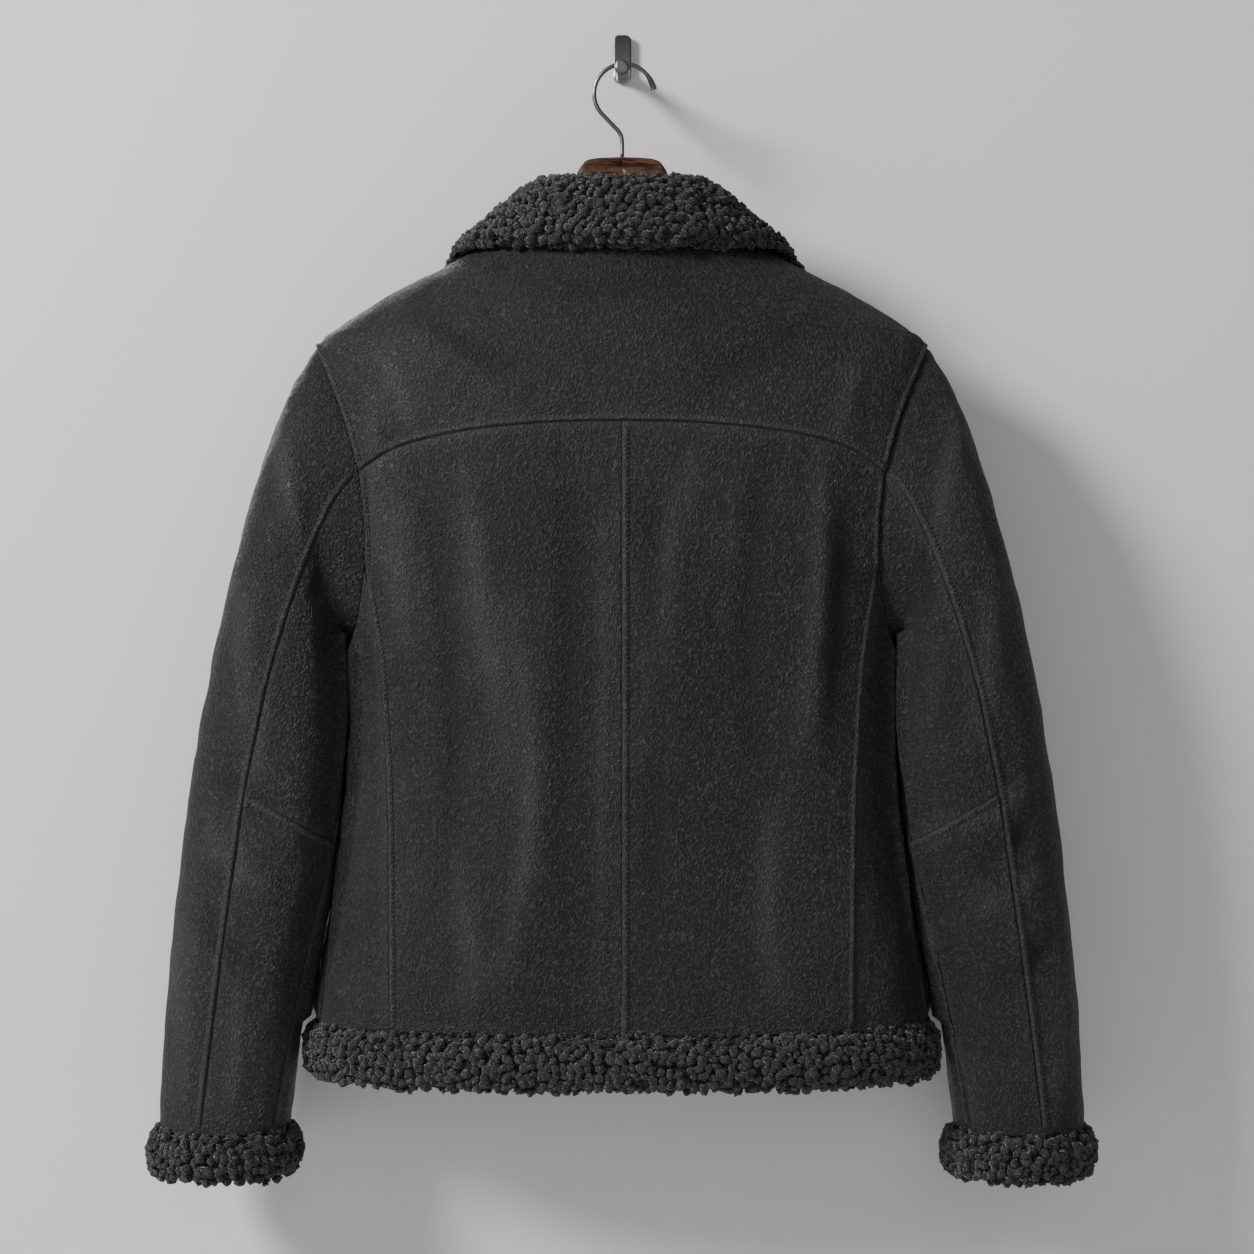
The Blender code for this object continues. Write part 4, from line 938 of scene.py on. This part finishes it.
def lay_on(tree, point, across, offset, lift):
    """Point at an offset across from a line, on the surface below, and lifted off it."""
    place, normal, _, _ = tree.find_nearest(point + across * offset)
    return place + normal * lift, normal


WELT_SECTION = ((0.03, -0.9), (0.10, 0.35), (0.30, 1.0), (0.62, 1.0), (0.86, 0.62), (1.0, -0.5))
WELT_HEIGHT = 0.0016
WELT_WEAR = 1.6              # rubbed more than any seam's edge, which has 1
STITCH_PLACE = 0.97          # across the welt
STITCH_THICK = 0.00045


def seam_frame(tree, line, i):
    """Directions along and across a seam at one of its points."""
    along = (line[min(i + 1, len(line) - 1)] - line[max(i - 1, 0)]).normalized()
    _, normal, _, _ = tree.find_nearest(line[i])
    return along, along.cross(normal).normalized()


def piece_tree(mesh):
    """Search tree of a leather piece's outside."""
    outer = [tuple(p.vertices) for p in mesh.polygons if p.material_index == OUTSIDE]
    return BVHTree.FromPolygons([v.co.copy() for v in mesh.vertices], outer)


def inward_sign(tree, line, width):
    """Which way across leads onto the piece."""
    votes = 0
    for i in range(0, len(line), max(len(line) // 12, 1)):
        _, across = seam_frame(tree, line, i)
        near = tree.find_nearest(line[i] + across * width)[3]
        far = tree.find_nearest(line[i] - across * width)[3]
        votes += 1 if near < far else -1
    return 1 if votes > 0 else -1


def seam_pieces():
    """Welts as lofted strips and stitches as short capsules, each kind joined into one piece."""
    props = bpy.context.scene.jacket_leather
    trees = {node: piece_tree(mesh) for node, mesh in LEATHER_MESHES.items()}
    welts, stitches = bmesh.new(), bmesh.new()
    for node, run, welt in seam_runs():
        tree = trees[node]
        line = even_line(run, 0.0034)
        sign = inward_sign(tree, line, props.welt_width)
        if welt:
            add_strip(welts, tree, line, sign, props.welt_width)
        fine = even_line(run, props.stitch_pitch)
        for i in range(len(fine) - 1):
            _, across = seam_frame(tree, fine, i)
            middle = (fine[i] + fine[i + 1]) / 2
            place, normal = lay_on(tree, middle, across * sign, props.welt_width * STITCH_PLACE,
                                   WELT_HEIGHT * 0.62 if welt else 0.0002)
            add_stitch(stitches, place, (fine[i + 1] - fine[i]).normalized(), normal,
                       props.stitch_pitch * 0.62)
    for name, bm, material in (("seam_welts", welts, "leather"), ("topstitching", stitches, "thread")):
        bmesh.ops.recalc_face_normals(bm, faces=bm.faces)
        mesh = finished_mesh(name, bm)
        mesh.shade_smooth()
        write_values(mesh, "seam_wear", WELT_WEAR)
        piece(name, mesh, (material,))


def add_strip(bm, tree, line, sign, width):
    """A low rounded strip along a seam, lowered at its ends."""
    rows, columns = len(line), len(WELT_SECTION)
    grid = bmesh.ops.create_grid(bm, x_segments=columns - 1, y_segments=rows - 1, size=1.0)["verts"]
    for vert in grid:
        i = round((vert.co.x + 1) / 2 * (columns - 1))
        j = round((vert.co.y + 1) / 2 * (rows - 1))
        share, lift = WELT_SECTION[i]
        _, across = seam_frame(tree, line, j)
        end = 0.25 if j in (0, rows - 1) else 1.0
        uneven = 1 + 0.35 * noise.noise(line[j] * 95)
        place, _ = lay_on(tree, line[j], across * sign, share * width,
                          lift * WELT_HEIGHT * end * (uneven if lift > 0 else 1))
        vert.co = place


def add_stitch(bm, place, along, normal, length):
    """One short thread, sunk at both ends."""
    side = normal.cross(along).normalized()
    turn = Matrix((side, normal, along)).transposed().to_4x4()
    shape = bmesh.ops.create_cone(bm, cap_ends=True, cap_tris=False, segments=5, radius1=STITCH_THICK,
                                  radius2=STITCH_THICK, depth=length,
                                  matrix=Matrix.Translation(place) @ turn)
    half = length / 2
    for vert in shape["verts"]:
        reach = (vert.co - place).dot(along) / half
        if abs(reach) > 0.5:
            vert.co -= normal * 0.0004


# Fur

def curl_template(name, seed):
    """One nub of curly wool: a small lobed ball."""
    bm = bmesh.new()
    size = bpy.context.scene.jacket_fur.curl
    bmesh.ops.create_uvsphere(bm, u_segments=8, v_segments=5, radius=1.0)
    for vert in bm.verts:
        out = vert.co.normalized()
        shift = Vector((seed * 3.1, seed, 0))
        lobes = 1 + 0.50 * noise.noise(out * 1.6 + shift) + 0.44 * noise.noise(out * 3.4 + shift)
        vert.co = Vector((out.x * 1.26, out.y * 0.90, out.z * 0.85)) * lobes * size / 2
        vert.co.z += size * 0.22
    mesh = finished_mesh(name, bm)
    mesh.shade_smooth()
    # Share of painted light: a curl's top painted lighter, its root painted as shade.
    write_values(mesh, "curl_painted_light", np.clip(read_points(mesh)[:, 2] / (size * 0.62), 0, 1))
    return mesh


def scatter_group(sources, spacing, seed):
    """Geometry nodes that set curls on a skin, evenly, upright and each its own way round."""
    group = bpy.data.node_groups.new("curls", "GeometryNodeTree")
    group.interface.new_socket("Geometry", in_out="INPUT", socket_type="NodeSocketGeometry")
    group.interface.new_socket("Geometry", in_out="OUTPUT", socket_type="NodeSocketGeometry")

    def node(kind, inputs=None, **settings):
        made = group.nodes.new(kind)
        for key, value in settings.items():
            setattr(made, key, value)
        for key, value in (inputs or {}).items():
            if isinstance(value, bpy.types.NodeSocket):
                group.links.new(value, made.inputs[key])
            else:
                made.inputs[key].default_value = value
        return made

    start = node("NodeGroupInput")
    cover = node("GeometryNodeInputNamedAttribute", {"Name": "cover"}, data_type="FLOAT")
    points = node("GeometryNodeDistributePointsOnFaces",
                  {"Mesh": start.outputs[0], "Distance Min": spacing, "Density Max": 90000.0,
                   "Density Factor": cover.outputs[0], "Seed": seed}, distribute_method="POISSON")
    curls = node("GeometryNodeCollectionInfo", {"Collection": sources, "Separate Children": True,
                                                "Reset Children": True})
    spin = node("FunctionNodeRandomValue", {"Min": (-0.45, -0.45, 0.0), "Max": (0.45, 0.45, 2 * pi),
                                            "Seed": seed + 1}, data_type="FLOAT_VECTOR")
    turned = node("FunctionNodeRotateRotation",
                  {"Rotation": points.outputs["Rotation"], "Rotate By": spin.outputs[0]},
                  rotation_space="LOCAL")
    size = node("FunctionNodeRandomValue", {"Seed": seed + 2}, data_type="FLOAT")
    size.inputs[2].default_value, size.inputs[3].default_value = 0.80, 1.22
    placed = node("GeometryNodeInstanceOnPoints",
                  {"Points": points.outputs[0], "Instance": curls.outputs[0], "Pick Instance": True,
                   "Rotation": turned.outputs[0], "Scale": size.outputs[1]})
    real = node("GeometryNodeRealizeInstances", {"Geometry": placed.outputs[0]})
    end = node("NodeGroupOutput")
    group.links.new(real.outputs[0], end.inputs[0])
    return group


CURLS = {}


def curl_collection():
    if "curls" not in CURLS:
        CURLS["curls"] = bpy.data.collections.new("curl_locks")
        for seed in range(6):
            lock = bpy.data.objects.new(f"lock_{seed}", curl_template(f"lock_{seed}", seed + 0.5))
            CURLS["curls"].objects.link(lock)
    return CURLS["curls"]


def skin_distance(node, points):
    """Distance of each point of a wool piece from the nearest leather that it is sewn to."""
    stems = SLEEVE_NODES if node.startswith("cuff") else BODY_NODES
    trees = [piece_tree(leather) for name, leather in LEATHER_MESHES.items() if name.startswith(stems)]
    return np.array([min(tree.find_nearest(Vector(p))[3] for tree in trees) for p in points])


def cover_map(mesh, distance):
    """1 where wool can be seen, 0 in the seam to the leather and inside the collar's fold."""
    own = search_tree(mesh)
    cover = (distance > 0.0012).astype(np.float32)
    for i, (p, n) in enumerate(zip(read_points(mesh), read_normals(mesh))):
        if own.ray_cast(Vector(p + n * 0.0003), Vector(n), 0.006)[0]:
            cover[i] = 0.0
    return cover


def collar_groove(points):
    """The collar's dent between its rolled top and its fall."""
    line = -0.135 - 0.0103 * (points[:, 0] / 0.118) ** 2
    back = np.clip((-0.015 - (points[:, 1] - HANG_Y)) / 0.02, 0, 1)
    return -0.0028 * back * np.exp(-((points[:, 2] - HANG_Z - line) / 0.0045) ** 2)


FUR_SINK = 0.0036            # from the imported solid, which the curls' tips reach, to their roots


def fur_piece(node, seed):
    """Wool band: a lumpy body painted dark as shade between the curls, with curls standing all over it.
    """
    bm = merged_copy(node)
    bm.verts.index_update()
    sewn = skin_distance(node, [vert.co for vert in bm.verts]) < 0.0018
    for face in bm.faces:
        face.smooth = True
    for edge in bm.edges:
        edge.seam = bool(sewn[edge.verts[0].index] and sewn[edge.verts[1].index])
    mesh = smooth_mesh(f"{node}_wool", bm, 2)
    points, normals = read_points(mesh), read_normals(mesh)
    distance = skin_distance(node, points)
    write_values(mesh, "cover", cover_map(mesh, distance))
    loose = np.clip((distance - 0.001) / 0.003, 0, 1)
    heights = (lump_heights(points, 0.009, 0.0012, seed) - FUR_SINK) * loose
    if node == "collar":
        heights += collar_groove(points)
    write_points(mesh, points + normals * heights[:, None])
    # The body between the curls gets a low share of painted light, so it shows the painted shade.
    write_values(mesh, "curl_painted_light", 0.12)
    body = piece(f"{node}_wool", mesh, ("curl",), replaces=(node,))

    guide = add_object("guide", mesh)
    scatter = guide.modifiers.new("curls", "NODES")
    scatter.node_group = scatter_group(curl_collection(), bpy.context.scene.jacket_fur.spacing, seed)
    curls = applied_mesh(guide)
    curls.name = f"{node}_curls"
    piece(f"{node}_curls", curls, ("curl",))


# Operators

class JacketLeatherOperator(bpy.types.Operator):
    """Make the leather pieces with their creases and wool side"""
    bl_idname = "jacket.leather"
    bl_label = "Leather pieces"

    def execute(self, context):
        skins = {node: smooth_skin(node) for node in LEATHER_NODES}
        for side, word in SIDES:
            move_sleeve_seam([skins[f"{stem}_{word}"] for stem in SLEEVE_NODES], side, word)
        round_shoulders(skins["back_yoke"])
        creases = all_creases()
        for seed, node in enumerate(LEATHER_NODES):
            leather_piece(node, skins[node], creases, seed + 1)
        return {"FINISHED"}


class JacketSeamsOperator(bpy.types.Operator):
    """Lay welts and topstitching along the seams"""
    bl_idname = "jacket.seams"
    bl_label = "Seams"

    def execute(self, context):
        seam_pieces()
        return {"FINISHED"}


class JacketFurOperator(bpy.types.Operator):
    """Make the curly wool of the collar, cuffs and hem"""
    bl_idname = "jacket.fur"
    bl_label = "Curly wool"

    def execute(self, context):
        for seed, node in enumerate(("collar", "cuff_fur_left", "cuff_fur_right", "hem_fur_back",
                                     "hem_fur_left", "hem_fur_right")):
            fur_piece(node, seed * 7 + 3)
        return {"FINISHED"}


class JacketZipOperator(bpy.types.Operator):
    """Give the zip its teeth and finishes"""
    bl_idname = "jacket.zip"
    bl_label = "Zip"

    def execute(self, context):
        for _, word in SIDES:
            repaint(f"zip_tape_{word}", "tape")
        repaint("zip_slider", "brass")
        repaint("zip_pull_tab", "brass")
        zip_teeth()
        return {"FINISHED"}


class JacketHangerOperator(bpy.types.Operator):
    """Make the wooden hanger, its wire and the wall hook"""
    bl_idname = "jacket.hanger"
    bl_label = "Hanger and hook"

    def execute(self, context):
        for _, word in SIDES:
            hard_piece(f"hanger_{word}", f"hanger_{word}_wood", "wood", 0.0004)
        hard_piece("hanger_hook", "hanger_hook_wire", "steel")
        hard_piece("wall_hook_arm", "wall_hook_arm_rod", "steel")
        repaint("wall_hook_plate", "plate")
        return {"FINISHED"}


class JacketStageOperator(bpy.types.Operator):
    """Set up the wall, floor, lights and camera"""
    bl_idname = "jacket.stage"
    bl_label = "Stage"

    def execute(self, context):
        make_stage()
        return {"FINISHED"}


OPERATORS = (JacketLeatherOperator, JacketSeamsOperator, JacketFurOperator, JacketZipOperator,
             JacketHangerOperator, JacketStageOperator)


def repaint(node, material):
    """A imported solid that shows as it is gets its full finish."""
    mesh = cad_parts[node].data
    mesh.materials.clear()
    mesh.materials.append(finish(material))


def hard_piece(node, name, material, middle_gap=0.0):
    """A smooth copy of a hard solid; halves parted by less than middle_gap meet at x = 0."""
    bm = merged_copy(node)
    for vert in bm.verts:
        if abs(vert.co.x) < middle_gap:
            vert.co.x = 0
    for edge in bm.edges:
        edge.seam = edge.seam or (middle_gap > 0 and all(vert.co.x == 0 for vert in edge.verts))
    for face in bm.faces:
        face.smooth = True
    mesh = smooth_mesh(name, bm, 2)
    mesh.set_sharp_from_angle(angle=radians(40))
    piece(name, mesh, (material,), replaces=(node,))


TOOTH_PITCH = 0.0026
TOOTH_SIZE = Vector((0.0036, 0.0020, 0.0012))


def zip_teeth():
    """Interlocked metal teeth in a row down the middle of the tapes."""
    tapes = packed_tree("zip_tape_left", "zip_tape_right")
    low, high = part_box("zip_tape_right")
    bm = bmesh.new()
    count = int((high.z - low.z - 0.004) / TOOTH_PITCH)
    slider_low, slider_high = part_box("zip_slider")
    for i in range(count):
        z = low.z + 0.002 + i * TOOTH_PITCH
        if slider_low.z - 0.001 < z < slider_high.z + 0.001:
            continue
        hit, normal, _, _ = tapes.ray_cast(Vector((0.0025, 0.05, z)), Vector((0, -1, 0)))
        if hit is None:
            continue
        side = 1 if i % 2 else -1
        made = bmesh.ops.create_cube(bm, size=1.0)["verts"]
        bmesh.ops.scale(bm, vec=TOOTH_SIZE, verts=made)
        edges = list({edge for vert in made for edge in vert.link_edges})
        tilt = Matrix.Rotation(normal.z, 4, "X")
        bmesh.ops.transform(bm, verts=made,
                            matrix=Matrix.Translation((side * 0.0009, hit.y + 0.0007, z)) @ tilt)
        bmesh.ops.bevel(bm, geom=edges, offset=0.0003, offset_type="OFFSET", segments=1,
                        affect="EDGES", profile=0.5, material=-1)
    piece("zip_teeth", finished_mesh("zip_teeth", bm), ("brass",))


# Stage

WALL_Y, FLOOR_Z = 0.0008, -1.45
STAGE_SIZE = 9.0
STAGE_TONE = (0.69, 0.685, 0.68)
JACKET_MIDDLE = Vector((0, 0, -0.45))


def plain_stage(name, place, turn, one_sided):
    """A pale plane; a one-sided one is clear from behind."""
    bm = bmesh.new()
    bmesh.ops.create_grid(bm, x_segments=1, y_segments=1, size=STAGE_SIZE / 2,
                          matrix=Matrix.Translation(place) @ turn)
    mesh = finished_mesh(name, bm)
    m = Finish(name)
    grain = m.noise(m.place(), 9.0, 3.0, 0.5)
    m.set(colour=m.mix(grain, STAGE_TONE, [0.985 * channel for channel in STAGE_TONE]),
          roughness=0.95, specular=0.1)
    if one_sided:
        facing = m.node("ShaderNodeNewGeometry", out="Backfacing")
        clear = m.node("ShaderNodeBsdfTransparent")
        both = m.node("ShaderNodeMixShader", None,
                      {0: facing, 1: Value(m, m.shader.outputs[0]), 2: clear})
        output = next(n for n in m.tree.nodes if n.type == "OUTPUT_MATERIAL")
        m.feed(output.inputs["Surface"], both)
    mesh.materials.append(m.material)
    item = add_object(name, mesh)
    return item


def area_light(name, place, size, power, colour=(1, 1, 1)):
    """A round light that faces the middle of the jacket."""
    light = bpy.data.lights.new(name, "AREA")
    light.shape = "DISK"
    light.size, light.energy, light.color = size, power, colour
    item = add_object(name, light)
    item.location = place
    item.rotation_euler = (JACKET_MIDDLE - Vector(place)).to_track_quat("-Z", "Y").to_euler()


def make_stage():
    wall = plain_stage("pale_wall", Vector((0, WALL_Y, -0.5)), Matrix.Rotation(pi / 2, 4, "X"), True)
    wall.visible_shadow = False
    wall.visible_diffuse = wall.visible_glossy = wall.visible_transmission = False
    plain_stage("pale_floor", Vector((0, 0, FLOOR_Z)), Matrix.Identity(4), False)

    world = bpy.data.worlds.new("pale_room")
    world.use_nodes = True
    background = world.node_tree.nodes["Background"]
    background.inputs["Color"].default_value = (0.95, 0.97, 1.0, 1)
    background.inputs["Strength"].default_value = 0.31
    bpy.context.scene.world = world
    area_light("window", (-2.2, -1.75, 1.05), 0.85, 143.0, (1.0, 0.985, 0.965))
    area_light("room_front", (0.6, -3.4, 0.2), 2.4, 14.0)
    area_light("room_behind", (-1.2, 2.6, 0.8), 1.8, 40.0)

    camera = bpy.data.cameras.new("photo_view")
    camera.lens, camera.sensor_width = 73.6, 36.0
    item = add_object("photo_view", camera)
    item.location = (0.0039, -2.086, -0.4615)
    item.rotation_euler = (pi / 2, 0, 0)
    bpy.context.scene.camera = item


class JacketPanel(bpy.types.Panel):
    """Lists the jacket's pieces and their sizes and colours"""
    bl_idname = "VIEW3D_PT_flying_jacket"
    bl_label = "Flying jacket"
    bl_space_type = "VIEW_3D"
    bl_region_type = "UI"
    bl_category = "Jacket"

    def draw(self, context):
        for operator in OPERATORS:
            self.layout.operator(operator.bl_idname)
        for group in ("jacket_leather", "jacket_fur", "jacket_hanger"):
            values = getattr(context.scene, group)
            for name in values.bl_rna.properties.keys():
                if name not in ("rna_type", "name"):
                    self.layout.prop(values, name)


GROUPS = {"jacket_leather": JacketLeather, "jacket_fur": JacketFur, "jacket_hanger": JacketHanger}


def register():
    for cls in (*GROUPS.values(), *OPERATORS, JacketPanel):
        bpy.utils.register_class(cls)
    for name, cls in GROUPS.items():
        setattr(bpy.types.Scene, name, bpy.props.PointerProperty(type=cls))


def unregister():
    for name in GROUPS:
        delattr(bpy.types.Scene, name)
    for cls in (JacketPanel, *OPERATORS[::-1], *GROUPS.values()):
        bpy.utils.unregister_class(cls)


def main():
    register()
    for operator in OPERATORS:
        family, name = operator.bl_idname.split(".")
        getattr(getattr(bpy.ops, family), name)()


if __name__ == "__main__":
    main()
